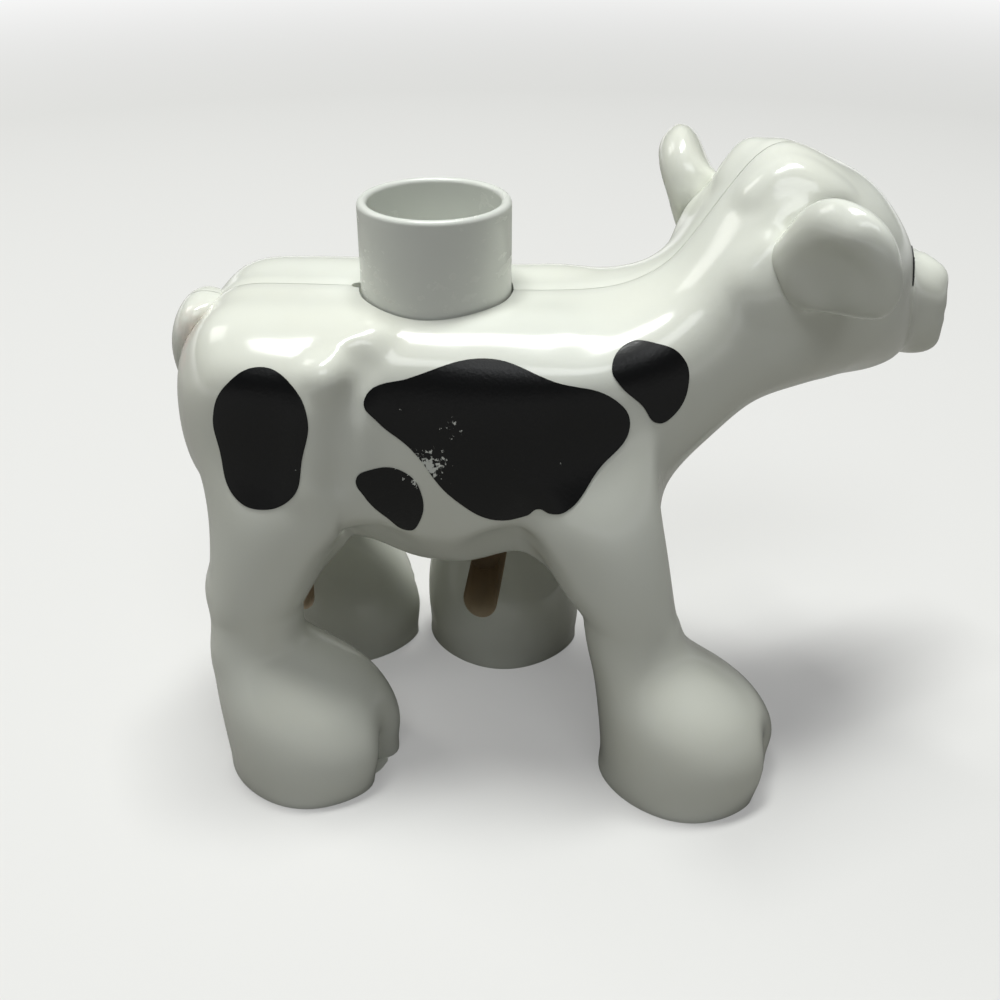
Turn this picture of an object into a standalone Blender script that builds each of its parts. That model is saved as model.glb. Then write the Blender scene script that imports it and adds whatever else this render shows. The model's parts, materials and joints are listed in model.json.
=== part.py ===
"""A hollow plastic toy calf, moulded as a right and a left half shell that trap a round stud in the back.

The figure is drawn straight, with x towards the head, y to its left and z up, and measured from the axis of
the stud on the floor. The neck is then bent, so that the head looks to the left. Everything is in metres.
"""

import math

import bmesh
import bpy
import numpy as np
from mathutils import Vector

MM = 0.001

# Body
TORSO_LENGTH = 30.0 * MM
TORSO_WIDTH = 18.6 * MM
BACK_HEIGHT = 31.9 * MM
BELLY_HEIGHT = 14.0 * MM
STUD_PLACE_SHARE = 0.517

# Neck and head
HEAD_REACH = 24.9 * MM
HEAD_RISE = 9.2 * MM
HEAD_DROP = 7.0 * MM
HEAD_WIDTH = 14.0 * MM
HEAD_TURN = math.radians(30)
TURN_LENGTH = 8.0 * MM
TURN_START_SHARE = 0.172
EAR_REACH = 10.9 * MM
EAR_WIDTH = 7.4 * MM
EAR_THICKNESS = 3.2 * MM

# Legs
STANCE = 15.4 * MM
FOOT_LENGTH_SHARE = 0.40
FOOT_LENGTH = FOOT_LENGTH_SHARE * TORSO_LENGTH
FOOT_WIDTH = 11.2 * MM
SHANK_LENGTH_SHARE = 0.20
SHANK_LENGTH = SHANK_LENGTH_SHARE * TORSO_LENGTH
SHANK_WIDTH = 5.6 * MM
CLEFT_DEPTH = 1.3 * MM
CLEFT_WIDTH = 1.5 * MM

# Tail
TAIL_LENGTH = 8.4 * MM
TAIL_WIDTH = 5.0 * MM
TAIL_STAND = 1.4 * MM
TAIL_THICK_SHARE = 0.85

# Moulding
WALL = 1.8 * MM
CLEARANCE = 0.3 * MM
SLOT_WIDTH = 2.7 * MM
SLOT_DRAFT_SHARE = 0.85
PIN_DIAMETER = 2.4 * MM
PIN_LENGTH = 2.5 * MM

# Stud
STUD_DIAMETER = 9.35 * MM
STUD_BORE = 8.1 * MM
STUD_RISE = 5.65 * MM
STUD_FLOOR = 1.0 * MM
FLANGE_DIAMETER = 12.6 * MM
FLANGE_THICKNESS = 1.2 * MM
EDGE_ROUND = 0.25 * MM

# The flange is far enough under the roof for its clearance and for the roof's rounding.
FLANGE_DROP_SHARE = 1.5
FLANGE_TOP = BACK_HEIGHT - WALL - FLANGE_DROP_SHARE * CLEARANCE
BOSS_WALL_SHARE = 0.67
OVERRUN = 2.0 * MM
MERGE_WITHIN = 0.01 * MM

# Each row is a ring round the body: where its top and its underside lie along the torso, the heights of
# both, the half width, and how rounded the upper corners are, from 0 for square to 1 for an ellipse.
TORSO_SHARES = (
    (0.034, 0.048, 0.955, 1.30, 0.80, 0.66),
    (0.100, 0.112, 0.997, 1.18, 0.98, 0.56),
    (0.207, 0.215, 1.004, 1.13, 1.04, 0.52),
    (0.340, 0.350, 1.003, 1.10, 1.04, 0.50),
    (0.435, 0.450, 1.000, 1.03, 0.92, 0.52),
    (0.567, 0.567, 1.000, 1.00, 0.94, 0.50),
    (0.683, 0.683, 1.000, 1.05, 0.96, 0.50),
    (0.783, 0.790, 1.002, 1.14, 0.98, 0.52),
    (0.870, 0.897, 1.010, 1.24, 0.93, 0.58),
)

# The same for the neck and head, as shares of the reach from the withers, of the rise above the back, and
# of the drop below it.
HEAD_SHARES = (
    (0.082, 0.155, 0.11, 1.74, 1.10, 0.68),
    (0.155, 0.242, 0.25, 1.30, 0.95, 0.78),
    (0.219, 0.331, 0.48, 1.03, 0.88, 0.86),
    (0.283, 0.428, 0.72, 0.96, 0.90, 0.90),
    (0.351, 0.524, 0.91, 0.95, 0.94, 0.90),
    (0.436, 0.612, 0.97, 0.98, 0.95, 0.90),
    (0.527, 0.680, 0.88, 1.00, 0.93, 0.86),
    (0.620, 0.730, 0.73, 0.99, 0.86, 0.84),
    (0.700, 0.775, 0.50, 0.96, 0.72, 0.82),
    (0.757, 0.815, 0.27, 0.93, 0.55, 0.78),
    (0.820, 0.862, 0.09, 0.94, 0.46, 0.74),
    (0.920, 0.930, 0.01, 0.96, 0.46, 0.72),
)
RUMP_BULGE_SHARE = 0.075
MUZZLE_BULGE_SHARE = 0.045

# Each leg: which side, its first ring on the body, and its centre at the thigh, the knee, the ankle and
# the foot, as shares of the torso's length.
LEG_SHARES = {
    "right_hind": (-1, 0, 0.215, 0.132, 0.125, 0.232),
    "left_hind": (1, 0, 0.215, 0.132, 0.125, 0.232),
    "right_fore": (-1, 6, 0.865, 0.935, 0.965, 1.090),
    "left_fore": (1, 6, 0.815, 0.665, 0.590, 0.650),
}

# The thigh's rings climb the flank: above this height, a share of the belly's, their outer side is raised.
CLIMB_START_SHARE = 0.84
CLIMB_SHARE = 1.8

# Where a leg or an ear leaves the body, its first ring is this share of the way from the hole's edge to
# the place in its own table, so that the two always flow together.
ROOT_SHARE = 0.6

# Each ring of a leg: its height as a share of the belly's, how far it has gone from one named centre to
# the next, and its share of the way from the shank's size to the foot's.
LEG_PLACES = ("thigh", "knee", "ankle", "foot")
LEG_RING_SHARES = (
    (1.12, "thigh", "knee", 0.36, 0.26),
    (0.98, "thigh", "knee", 0.90, 0.08),
    (0.88, "knee", "ankle", 0.40, 0.04),
    (0.75, "knee", "ankle", 1.00, 0.12),
    (0.61, "ankle", "foot", 0.34, 0.40),
    (0.44, "ankle", "foot", 0.76, 0.80),
    (0.23, "ankle", "foot", 1.00, 0.99),
    (0.06, "ankle", "foot", 1.00, 0.94),
    (-0.05, "ankle", "foot", 1.00, 0.80),
)

# The tail lies on the rump. Each ring: how far behind the rump ring's top its centre is, as a share of how
# far the tail stands out, how far below the back, as a share of its length, and its width and thickness.
TAIL_RING_SHARES = (
    (-0.60, 0.16, 0.55, 0.55),
    (0.28, 0.18, 0.95, 0.90),
    (0.92, 0.42, 1.00, 1.00),
    (1.00, 0.70, 0.72, 0.86),
    (1.02, 0.94, 0.34, 0.55),
)
TAIL_RING_POINTS = 8

# The ear is a paddle. Each ring: its distance from the middle of the head as a share of the ear's reach,
# its height as a share of the head's rise above the back, its width and its thickness.
EAR_RING_SHARES = (
    (0.57, 0.35, 0.56, 1.10),
    (0.72, 0.42, 0.98, 1.02),
    (0.87, 0.58, 0.92, 0.88),
    (0.965, 0.69, 0.62, 0.64),
)
EAR_PLACE_SHARE = 0.378

# The ear's hole starts at the fourth ring of the neck and head.
EAR_FIRST_RING = len(TORSO_SHARES) + 3

EAR_LEAN = math.radians(25)
EAR_RAISE = math.radians(42)

# The slot's two ends: how far between the ankle and the foot, or the knee and the ankle, and the height
# as a share of the belly's.
SLOT_LOW_SHARES = (0.10, 0.43)
SLOT_HIGH_SHARES = (0.40, 0.84)

# The height of the middle of a toe's cleft, and half its own height, as shares of the belly's.
CLEFT_MIDDLE_SHARE = 0.1
CLEFT_HEIGHT_SHARE = 0.3

# Where the locating pins are: the share of the torso's length, or of the head's reach, and the height.
BODY_PIN_SHARES = ((0.14, 0.76), (0.84, 0.76))
HEAD_PIN_SHARES = (0.47, 0.16)

RING_POINTS = 16
CAP_CORNER = RING_POINTS // 8
LEG_TOP_POINT = 4
LEG_LOW_POINT = 7
EAR_TOP_POINT = 2
EAR_LOW_POINT = 4
FIRST_CORNER = math.radians(225)
SKIN_LEVELS = 1
STUD_STEPS = 48
BEND_STEPS = 8
PIN_STEPS = 24
SLOT_STEPS = 16
CLEFT_STEPS = 16
SIDES = {"right": -1, "left": 1}


def clear_scene():
    for obj in list(bpy.data.objects):
        bpy.data.objects.remove(obj, do_unlink=True)


def collection(name):
    made = bpy.data.collections.new(name)
    bpy.context.scene.collection.children.link(made)
    return made


def plastic(name, colour, roughness):
    material = bpy.data.materials.new(name)
    material.use_nodes = True
    shader = material.node_tree.nodes["Principled BSDF"]
    shader.inputs["Base Color"].default_value = (*colour, 1.0)
    shader.inputs["Roughness"].default_value = roughness
    shader.inputs["Metallic"].default_value = 0.0
    return material


def object_of(name, bm, group, material=None):
    """Finishes a bmesh as an object with its faces pointing out."""
    bmesh.ops.recalc_face_normals(bm, faces=bm.faces)
    if bm.calc_volume(signed=True) < 0:
        bmesh.ops.reverse_faces(bm, faces=bm.faces)
    mesh = bpy.data.meshes.new(name)
    bm.to_mesh(mesh)
    bm.free()
    obj = bpy.data.objects.new(name, mesh)
    group.objects.link(obj)
    if material:
        mesh.materials.append(material)
    return obj


def as_cutter(obj):
    obj.hide_render = True
    obj.display_type = "WIRE"
    return obj


def torso_x(share):
    return (share - STUD_PLACE_SHARE) * TORSO_LENGTH


WITHERS_X = torso_x(TORSO_SHARES[-1][0])
TURN_START = WITHERS_X + (HEAD_REACH - TURN_LENGTH) * TURN_START_SHARE


def neck_frame(along):
    """The place and the heading, in plan, of a distance along the figure once its neck is bent."""
    bent = min(max(along - TURN_START, 0.0), TURN_LENGTH)
    heading = HEAD_TURN * bent / TURN_LENGTH
    radius = TURN_LENGTH / HEAD_TURN
    straight = along - bent
    start = Vector((min(along, TURN_START), 0.0))
    arc = Vector((math.sin(heading), 1 - math.cos(heading))) * radius
    past = max(straight - TURN_START, 0.0)
    return start + arc + past * Vector((math.cos(heading), math.sin(heading))), heading


def turned(point, carried_at=None):
    """Bends a point of the straight figure. A rigid piece is carried round at one place along the neck."""
    along = point[0] if carried_at is None else carried_at
    place, heading = neck_frame(along)
    forward = Vector((math.cos(heading), math.sin(heading)))
    left = Vector((-math.sin(heading), math.cos(heading)))
    plan = place + (point[0] - along) * forward + point[1] * left
    return Vector((plan.x, plan.y, point[2]))


def body_rings():
    """(top, underside, half width, roundness) of each ring from the rump to the muzzle."""
    rings = []
    for top_x, low_x, back, belly, width, round_share in TORSO_SHARES:
        top = Vector((torso_x(top_x), back * BACK_HEIGHT))
        low = Vector((torso_x(low_x), belly * BELLY_HEIGHT))
        rings.append((top, low, width * TORSO_WIDTH / 2, round_share))
    for top_x, low_x, rise, drop, width, round_share in HEAD_SHARES:
        top = Vector((WITHERS_X + top_x * HEAD_REACH, BACK_HEIGHT + rise * HEAD_RISE))
        low = Vector((WITHERS_X + low_x * HEAD_REACH, BACK_HEIGHT - drop * HEAD_DROP))
        rings.append((top, low, width * HEAD_WIDTH / 2, round_share))
    return rings


def ring_points(top, low, half_width, round_share, count=RING_POINTS, inset=0.0):
    """Points of one ring, from the top round the right side, with its upper corners the squarer ones."""
    axis = (top - low).normalized()
    middle = (top + low) / 2
    half_height = (top - low).length / 2 - inset
    points = []
    for n in range(count):
        angle = 2 * math.pi * n / count
        rise, side = math.cos(angle), -math.sin(angle)
        power = round_share if rise > 0 else (1 + round_share) / 2
        rise = math.copysign(abs(rise) ** power, rise)
        side = math.copysign(abs(side) ** ((1 + round_share) / 2), side)
        place = middle + axis * half_height * rise
        points.append(Vector((place.x, side * (half_width - inset), place.y)))
    return points


def bridge(bm, first, second, skip=()):
    """Quads between two closed rings of as many points."""
    for n, _ in enumerate(first):
        if n in skip:
            continue
        after = (n + 1) % len(first)
        bm.faces.new((first[n], first[after], second[after], second[n]))


def grid_cap(bm, ring, corner, bulge):
    """Closes a ring of 4n points with n by n quads, raised at the middle by the vector bulge."""
    n = len(ring) // 4
    around = [ring[(corner + k) % len(ring)] for k in range(len(ring))]
    grid = {}
    for k in range(n + 1):
        grid[k, 0] = around[k]
        grid[n, k] = around[n + k]
        grid[n - k, n] = around[2 * n + k]
        grid[0, n - k] = around[(3 * n + k) % len(ring)]
    for i in range(1, n):
        for j in range(1, n):
            u, v = i / n, j / n
            across = grid[0, j].co.lerp(grid[n, j].co, u)
            along = grid[i, 0].co.lerp(grid[i, n].co, v)
            low_corner = grid[0, 0].co.lerp(grid[n, 0].co, u)
            high_corner = grid[0, n].co.lerp(grid[n, n].co, u)
            corners = low_corner.lerp(high_corner, v)
            crown = 16 * u * (1 - u) * v * (1 - v)
            grid[i, j] = bm.verts.new(across + along - corners + bulge * crown)
    for i in range(n):
        for j in range(n):
            bm.faces.new((grid[i, j], grid[i + 1, j], grid[i + 1, j + 1], grid[i, j + 1]))


def patch_edge(rings, first, steps, top, low, side):
    """The points round a hole in the body's side: along its top, down its front, back and up."""

    def at(step, point):
        return rings[first + step][point if side < 0 else -point % RING_POINTS]

    edge = [at(n, top) for n in range(steps)]
    edge += [at(steps, top + n) for n in range(steps)]
    edge += [at(steps - n, low) for n in range(steps)]
    edge += [at(0, low - n) for n in range(steps)]
    return edge


def leg_centre(shares, start, end, part_way):
    """How far along the body a leg's centre is, part of the way from one named place to the next."""
    centres = dict(zip(LEG_PLACES, shares[2:]))
    return torso_x(centres[start] + (centres[end] - centres[start]) * part_way)


def add_leg(bm, edge, shares):
    side = shares[0]
    previous = edge
    for height, start, end, part_way, foot_share in LEG_RING_SHARES:
        half_length = (SHANK_LENGTH + (FOOT_LENGTH - SHANK_LENGTH) * foot_share) / 2
        half_width = (SHANK_WIDTH + (FOOT_WIDTH - SHANK_WIDTH) * foot_share) / 2
        x = leg_centre(shares, start, end, part_way)
        z = height * BELLY_HEIGHT
        lift = CLIMB_SHARE * max(height - CLIMB_START_SHARE, 0.0)
        ring = []
        for n in range(len(edge)):
            angle = FIRST_CORNER + 2 * math.pi * n / len(edge)
            out = -math.sin(angle)
            place = Vector((x + half_length * math.cos(angle), side * (STANCE / 2 + half_width * out), z))
            place.z += lift * half_width * out
            if previous is edge:
                place = edge[n].co.lerp(place, ROOT_SHARE)
            ring.append(bm.verts.new(place))
        bridge(bm, previous, ring)
        previous = ring
    grid_cap(bm, previous, 0, Vector((0, 0, 0)))


def add_ear(bm, edge, side):
    """A paddle that stands out and up from the side of the head, with its lower edge leaned forward."""
    root_x = WITHERS_X + EAR_PLACE_SHARE * HEAD_REACH
    out = Vector((0, side * math.cos(EAR_RAISE), math.sin(EAR_RAISE)))
    down = Vector((0, side * math.sin(EAR_RAISE), -math.cos(EAR_RAISE)))
    broad = Vector((1, 0, 0)) * math.sin(EAR_LEAN) + down * math.cos(EAR_LEAN)
    thick = out.cross(broad)
    previous = edge
    for reach, rise, width_share, thick_share in EAR_RING_SHARES:
        centre = Vector((root_x, side * reach * EAR_REACH, BACK_HEIGHT + rise * HEAD_RISE))
        ring = []
        for n in range(len(edge)):
            angle = (FIRST_CORNER + 2 * math.pi * n / len(edge)) * side
            in_breadth = broad * EAR_WIDTH / 2 * width_share * math.sin(angle) * side
            in_thickness = -thick * EAR_THICKNESS / 2 * thick_share * math.cos(angle) * side
            place = turned(centre + in_breadth + in_thickness, root_x)
            if previous is edge:
                place = edge[n].co.lerp(place, ROOT_SHARE)
            ring.append(bm.verts.new(place))
        bridge(bm, previous, ring)
        previous = ring
    tip = turned(centre + out * EAR_THICKNESS / 3, root_x)
    grid_cap(bm, previous, 0, tip - turned(centre, root_x))


def fit_cage(bm, rounds=4):
    """Moves the cage's points so that the smooth surface passes where they were drawn."""
    bmesh.ops.delete(bm, geom=[v for v in bm.verts if not v.link_faces], context="VERTS")
    verts = list(bm.verts)
    bm.verts.index_update()
    drawn = np.array([v.co[:] for v in verts])
    links = []
    for v in verts:
        edges = [e.other_vert(v).index for e in v.link_edges]
        corners = []
        for face in v.link_faces:
            corners += [w.index for w in face.verts if w is not v and w.index not in edges]
        links.append((len(edges), edges, corners))
    cage = drawn.copy()
    for _ in range(rounds):
        surface = np.array(
            [
                (n * n * cage[i] + 4 * cage[edges].sum(0) + cage[corners].sum(0)) / (n * (n + 5))
                for i, (n, edges, corners) in enumerate(links)
            ]
        )
        cage += drawn - surface
    for v, place in zip(verts, cage):
        v.co = place


def skin_cage():
    """The outside of the whole figure as a cage of four-sided faces."""
    bm = bmesh.new()
    rings = [[bm.verts.new(turned(p)) for p in ring_points(*ring)] for ring in body_rings()]
    holes = {}
    for side, first, *_ in LEG_SHARES.values():
        for step in range(3):
            for point in range(LEG_TOP_POINT, LEG_LOW_POINT):
                holes[first + step, point if side < 0 else RING_POINTS - 1 - point] = True
    for side in SIDES.values():
        for step in range(2):
            for point in range(EAR_TOP_POINT, EAR_LOW_POINT):
                holes[EAR_FIRST_RING + step, point if side < 0 else RING_POINTS - 1 - point] = True
    for n in range(len(rings) - 1):
        bridge(bm, rings[n], rings[n + 1], [p for p in range(RING_POINTS) if (n, p) in holes])
    grid_cap(bm, rings[0], CAP_CORNER, Vector((-RUMP_BULGE_SHARE * TORSO_LENGTH, 0, 0)))
    facing = Vector((math.cos(HEAD_TURN), math.sin(HEAD_TURN), 0))
    grid_cap(bm, rings[-1], CAP_CORNER, facing * MUZZLE_BULGE_SHARE * HEAD_REACH)
    for shares in LEG_SHARES.values():
        add_leg(bm, patch_edge(rings, shares[1], 3, LEG_TOP_POINT, LEG_LOW_POINT, shares[0]), shares)
    for side in SIDES.values():
        add_ear(bm, patch_edge(rings, EAR_FIRST_RING, 2, EAR_TOP_POINT, EAR_LOW_POINT, side), side)
    fit_cage(bm)
    return bm


def tail_cage():
    """The tail as a cage that is sunk into the rump and joined to it."""
    bm = bmesh.new()
    rump_x = torso_x(TORSO_SHARES[0][0])
    previous = None
    centres = [
        Vector((rump_x - back * TAIL_STAND, 0, BACK_HEIGHT - down * TAIL_LENGTH))
        for back, down, _, _ in TAIL_RING_SHARES
    ]
    for n, (_, _, width, thickness) in enumerate(TAIL_RING_SHARES):
        ahead = centres[min(n + 1, len(centres) - 1)] - centres[max(n - 1, 0)]
        outward = Vector((0, 1, 0)).cross(ahead).normalized()
        ring = []
        for k in range(TAIL_RING_POINTS):
            angle = 2 * math.pi * (k + 0.5) / TAIL_RING_POINTS
            across = Vector((0, 1, 0)) * math.cos(angle) * width * TAIL_WIDTH / 2
            out = outward * math.sin(angle) * thickness * TAIL_STAND * TAIL_THICK_SHARE
            ring.append(bm.verts.new(centres[n] + across + out))
        if previous:
            bridge(bm, previous, ring)
        else:
            grid_cap(bm, ring, 0, -ahead.normalized() * TAIL_STAND / 4)
        previous = ring
    grid_cap(bm, previous, 0, ahead.normalized() * TAIL_STAND / 4)
    fit_cage(bm)
    return bm


def core_cage():
    """The hollow inside the body, neck and head, one wall in from the skin."""
    bm = bmesh.new()
    previous = None
    for ring in body_rings()[1:-4]:
        points = ring_points(*ring, count=RING_POINTS // 2, inset=WALL)
        verts = [bm.verts.new(turned(point)) for point in points]
        if previous:
            bridge(bm, previous, verts)
        else:
            grid_cap(bm, verts, 1, Vector((0, 0, 0)))
        previous = verts
    grid_cap(bm, previous, 1, Vector((0, 0, 0)))
    fit_cage(bm)
    return bm


def rod(name, start, end, radius, group):
    """A round bar between two points, for the pins, their sockets and their bosses."""
    axis = Vector(end) - Vector(start)
    bm = bmesh.new()
    bmesh.ops.create_cone(
        bm, cap_ends=True, segments=PIN_STEPS, radius1=radius, radius2=radius, depth=axis.length
    )
    turn = Vector((0, 0, 1)).rotation_difference(axis).to_matrix()
    bmesh.ops.transform(bm, matrix=turn.to_4x4(), verts=bm.verts)
    bmesh.ops.translate(bm, vec=(Vector(start) + Vector(end)) / 2, verts=bm.verts)
    return object_of(name, bm, group)


def slot_tool(name, low, high, inner_y, outer_y, group):
    """A round-ended slot along a leg, cored from its inner face and a little narrower at the bottom."""
    bm = bmesh.new()
    for y, radius in ((inner_y, SLOT_WIDTH / 2), (outer_y, SLOT_WIDTH / 2 * SLOT_DRAFT_SHARE)):
        for x, z in (low, high):
            for n in range(SLOT_STEPS):
                angle = 2 * math.pi * n / SLOT_STEPS
                bm.verts.new((x + radius * math.cos(angle), y, z + radius * math.sin(angle)))
    hull = bmesh.ops.convex_hull(bm, input=bm.verts)
    spare = {v for v in hull["geom_interior"] if isinstance(v, bmesh.types.BMVert)}
    bmesh.ops.delete(bm, geom=list(spare), context="VERTS")
    return object_of(name, bm, group)


def cleft_tool(name, toe, side, group):
    """A half egg that is pressed into the front of a toe, with hardly anything before the toe."""
    bm = bmesh.new()
    bmesh.ops.create_uvsphere(bm, u_segments=CLEFT_STEPS, v_segments=CLEFT_STEPS // 2, radius=1.0)
    for vert in bm.verts:
        vert.co.x *= CLEARANCE if vert.co.x > 0 else CLEFT_DEPTH
    half_width, half_height = CLEFT_WIDTH / 2, CLEFT_HEIGHT_SHARE * BELLY_HEIGHT
    bmesh.ops.scale(bm, vec=(1, half_width, half_height), verts=bm.verts)
    middle = (toe, side * STANCE / 2, CLEFT_MIDDLE_SHARE * BELLY_HEIGHT)
    bmesh.ops.translate(bm, vec=middle, verts=bm.verts)
    return object_of(name, bm, group)


def parting_block(name, side, group):
    """Everything on one side of the parting surface, which follows the bent neck and head."""
    reach = TORSO_LENGTH + HEAD_REACH
    start, end = -reach, WITHERS_X + HEAD_REACH + HEAD_WIDTH
    bends = [TURN_START + TURN_LENGTH * n / BEND_STEPS for n in range(BEND_STEPS + 1)]
    bm = bmesh.new()
    outline = [turned((x, -side * CLEARANCE / 2, 0)) for x in [start, *bends, end]]
    outline += [Vector((outline[-1].x, side * reach, 0)), Vector((outline[0].x, side * reach, 0))]
    floor = bm.faces.new([bm.verts.new((p.x, p.y, -OVERRUN)) for p in outline])
    raised = bmesh.ops.extrude_face_region(bm, geom=[floor])
    tops = [v for v in raised["geom"] if isinstance(v, bmesh.types.BMVert)]
    bmesh.ops.translate(bm, vec=(0, 0, BACK_HEIGHT + 2 * HEAD_RISE), verts=tops)
    return object_of(name, bm, group)


def turned_solid(name, profile, group, material=None):
    """A solid turned about the stud's axis from (radius, height) points, down its outer side."""
    bm = bmesh.new()
    points = [bm.verts.new((radius, 0, height)) for radius, height in profile]
    for above, below in zip(points, points[1:]):
        bm.edges.new((above, below))
    mesh = bpy.data.meshes.new(name)
    bm.to_mesh(mesh)
    bm.free()
    obj = bpy.data.objects.new(name, mesh)
    group.objects.link(obj)
    if material:
        mesh.materials.append(material)
    screw = obj.modifiers.new("turned", "SCREW")
    screw.axis = "Z"
    screw.steps = screw.render_steps = STUD_STEPS
    screw.use_merge_vertices = True
    screw.merge_threshold = MERGE_WITHIN
    return obj


def rounded(centre, start, end, steps=4):
    """Points of an arc of EDGE_ROUND about a centre, between two angles in degrees."""
    angles = [math.radians(start + (end - start) * n / steps) for n in range(steps + 1)]
    return [(centre[0] + EDGE_ROUND * math.cos(a), centre[1] + EDGE_ROUND * math.sin(a)) for a in angles]


def back_stud(group, material):
    """The tube on the back, with a floor, and the flange that the two halves trap."""
    rim = BACK_HEIGHT + STUD_RISE
    bottom = FLANGE_TOP - FLANGE_THICKNESS
    bore, outer, flange = STUD_BORE / 2, STUD_DIAMETER / 2, FLANGE_DIAMETER / 2
    profile = [(0, bottom + STUD_FLOOR), (bore, bottom + STUD_FLOOR)]
    profile += rounded((bore + EDGE_ROUND, rim - EDGE_ROUND), 180, 90)
    profile += rounded((outer - EDGE_ROUND, rim - EDGE_ROUND), 90, 0)
    profile += [(outer, FLANGE_TOP), (flange, FLANGE_TOP), (flange, bottom), (0, bottom)]
    return turned_solid("back_stud", profile, group, material)


def stud_envelope(group):
    """The room that the stud and its flange need in the halves."""
    outer, flange = STUD_DIAMETER / 2 + CLEARANCE, FLANGE_DIAMETER / 2 + CLEARANCE
    top, seat = BACK_HEIGHT + OVERRUN, FLANGE_TOP + CLEARANCE
    bottom = FLANGE_TOP - FLANGE_THICKNESS - CLEARANCE
    profile = [(0, top), (outer, top), (outer, seat), (flange, seat), (flange, bottom), (0, bottom)]
    return as_cutter(turned_solid("stud_envelope", profile, group))


def subdivide(obj, levels):
    smooth = obj.modifiers.new("smooth", "SUBSURF")
    smooth.levels = smooth.render_levels = levels


def boolean(obj, other, operation, solver="EXACT"):
    """Joins or cuts. At a few sizes of the figure the exact solver returns nothing for a half shell."""
    cut = obj.modifiers.new(other.name, "BOOLEAN")
    cut.solver = solver
    cut.operation = operation
    cut.object = other


def pin_places():
    """The middle of each locating pin in the straight figure."""
    places = [(torso_x(x), BACK_HEIGHT * z) for x, z in BODY_PIN_SHARES]
    along, rise = HEAD_PIN_SHARES
    return places + [(WITHERS_X + along * HEAD_REACH, BACK_HEIGHT + rise * HEAD_RISE)]


def across(place, start, end):
    """Two points square across the figure at a place, at two distances to its left."""
    return [turned((place[0], y, place[1]), place[0]) for y in (start, end)]


def core(group):
    """The hollowing tool, less the pin bosses and the shelf under the flange, which stay as plastic."""
    shelf_top = FLANGE_TOP - FLANGE_THICKNESS
    outline = [(0, shelf_top), (TORSO_WIDTH / 2, shelf_top)]
    outline += [(radius, height - WALL) for radius, height in reversed(outline)]
    shelf = turned_solid("flange_shelf", outline, group)
    hollow = object_of("hollow", core_cage(), group)
    subdivide(hollow, SKIN_LEVELS)
    for n, place in enumerate(pin_places()):
        start, end = across(place, -TORSO_WIDTH, TORSO_WIDTH)
        boss = rod(f"boss_{n + 1}", start, end, PIN_DIAMETER / 2 + WALL * BOSS_WALL_SHARE, group)
        boolean(hollow, as_cutter(boss), "DIFFERENCE")
    boolean(hollow, as_cutter(shelf), "DIFFERENCE")
    return as_cutter(hollow)


def leg_tools(leg, shares, group):
    """The slot up a leg's inner face and the cleft in its toe."""
    side = shares[0]
    low = leg_centre(shares, "ankle", "foot", SLOT_LOW_SHARES[0]), SLOT_LOW_SHARES[1] * BELLY_HEIGHT
    high = leg_centre(shares, "knee", "ankle", SLOT_HIGH_SHARES[0]), SLOT_HIGH_SHARES[1] * BELLY_HEIGHT
    deep = STANCE / 2 + SHANK_WIDTH / 2 - WALL
    slot = as_cutter(slot_tool(f"{leg}_slot", low, high, side * CLEARANCE, side * deep, group))
    toe = leg_centre(shares, "ankle", "foot", 1) + FOOT_LENGTH / 2
    return [slot, as_cutter(cleft_tool(f"{leg}_cleft", toe, side, group))]


def half_shell(side_name, group, cutters, material):
    side = SIDES[side_name]
    other = "left" if side < 0 else "right"
    shell = object_of(f"{side_name}_half_shell", skin_cage(), group, material)
    shell.data.shade_smooth()
    subdivide(shell, SKIN_LEVELS)
    boolean(shell, bpy.data.objects["tail"], "UNION")
    tools = [as_cutter(parting_block(f"{other}_side", -side, cutters))]
    tools += [bpy.data.objects[shared] for shared in ("hollow", "stud_envelope", "floor")]
    for leg, shares in LEG_SHARES.items():
        if shares[0] == side:
            tools += leg_tools(leg, shares, cutters)
    if side > 0:
        for n, place in enumerate(pin_places()):
            start, end = across(place, -CLEARANCE, PIN_LENGTH + CLEARANCE)
            socket = rod(f"socket_{n + 1}", start, end, PIN_DIAMETER / 2 + CLEARANCE, cutters)
            tools.append(as_cutter(socket))
    for tool in tools:
        boolean(shell, tool, "DIFFERENCE", "MANIFOLD")
    if side < 0:
        for n, place in enumerate(pin_places()):
            start, end = across(place, -PIN_LENGTH, PIN_LENGTH)
            pin = rod(f"pin_{n + 1}", start, end, PIN_DIAMETER / 2, cutters)
            boolean(shell, as_cutter(pin), "UNION", "MANIFOLD")
    return shell


def floor_block(group):
    """What the soles are cut flat by."""
    reach = TORSO_LENGTH + HEAD_REACH
    bm = bmesh.new()
    bmesh.ops.create_cube(bm, size=1.0)
    bmesh.ops.scale(bm, vec=(2 * reach, 2 * reach, OVERRUN), verts=bm.verts)
    bmesh.ops.translate(bm, vec=(0, 0, -OVERRUN / 2), verts=bm.verts)
    return as_cutter(object_of("floor", bm, group))


def stand_on_origin(objects):
    """Parents everything to an empty and centres the footprint of the whole figure on the origin."""
    bpy.context.view_layer.update()
    graph = bpy.context.evaluated_depsgraph_get()
    corners = []
    for obj in objects:
        if not obj.hide_render:
            corners += [Vector(corner) for corner in obj.evaluated_get(graph).bound_box]
    middle = [(min(c[n] for c in corners) + max(c[n] for c in corners)) / 2 for n in range(2)]
    stand = bpy.data.objects.new("stand", None)
    bpy.data.collections["toy_calf"].objects.link(stand)
    for obj in objects:
        obj.parent = stand
    stand.location = (-middle[0], -middle[1], 0)


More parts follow.
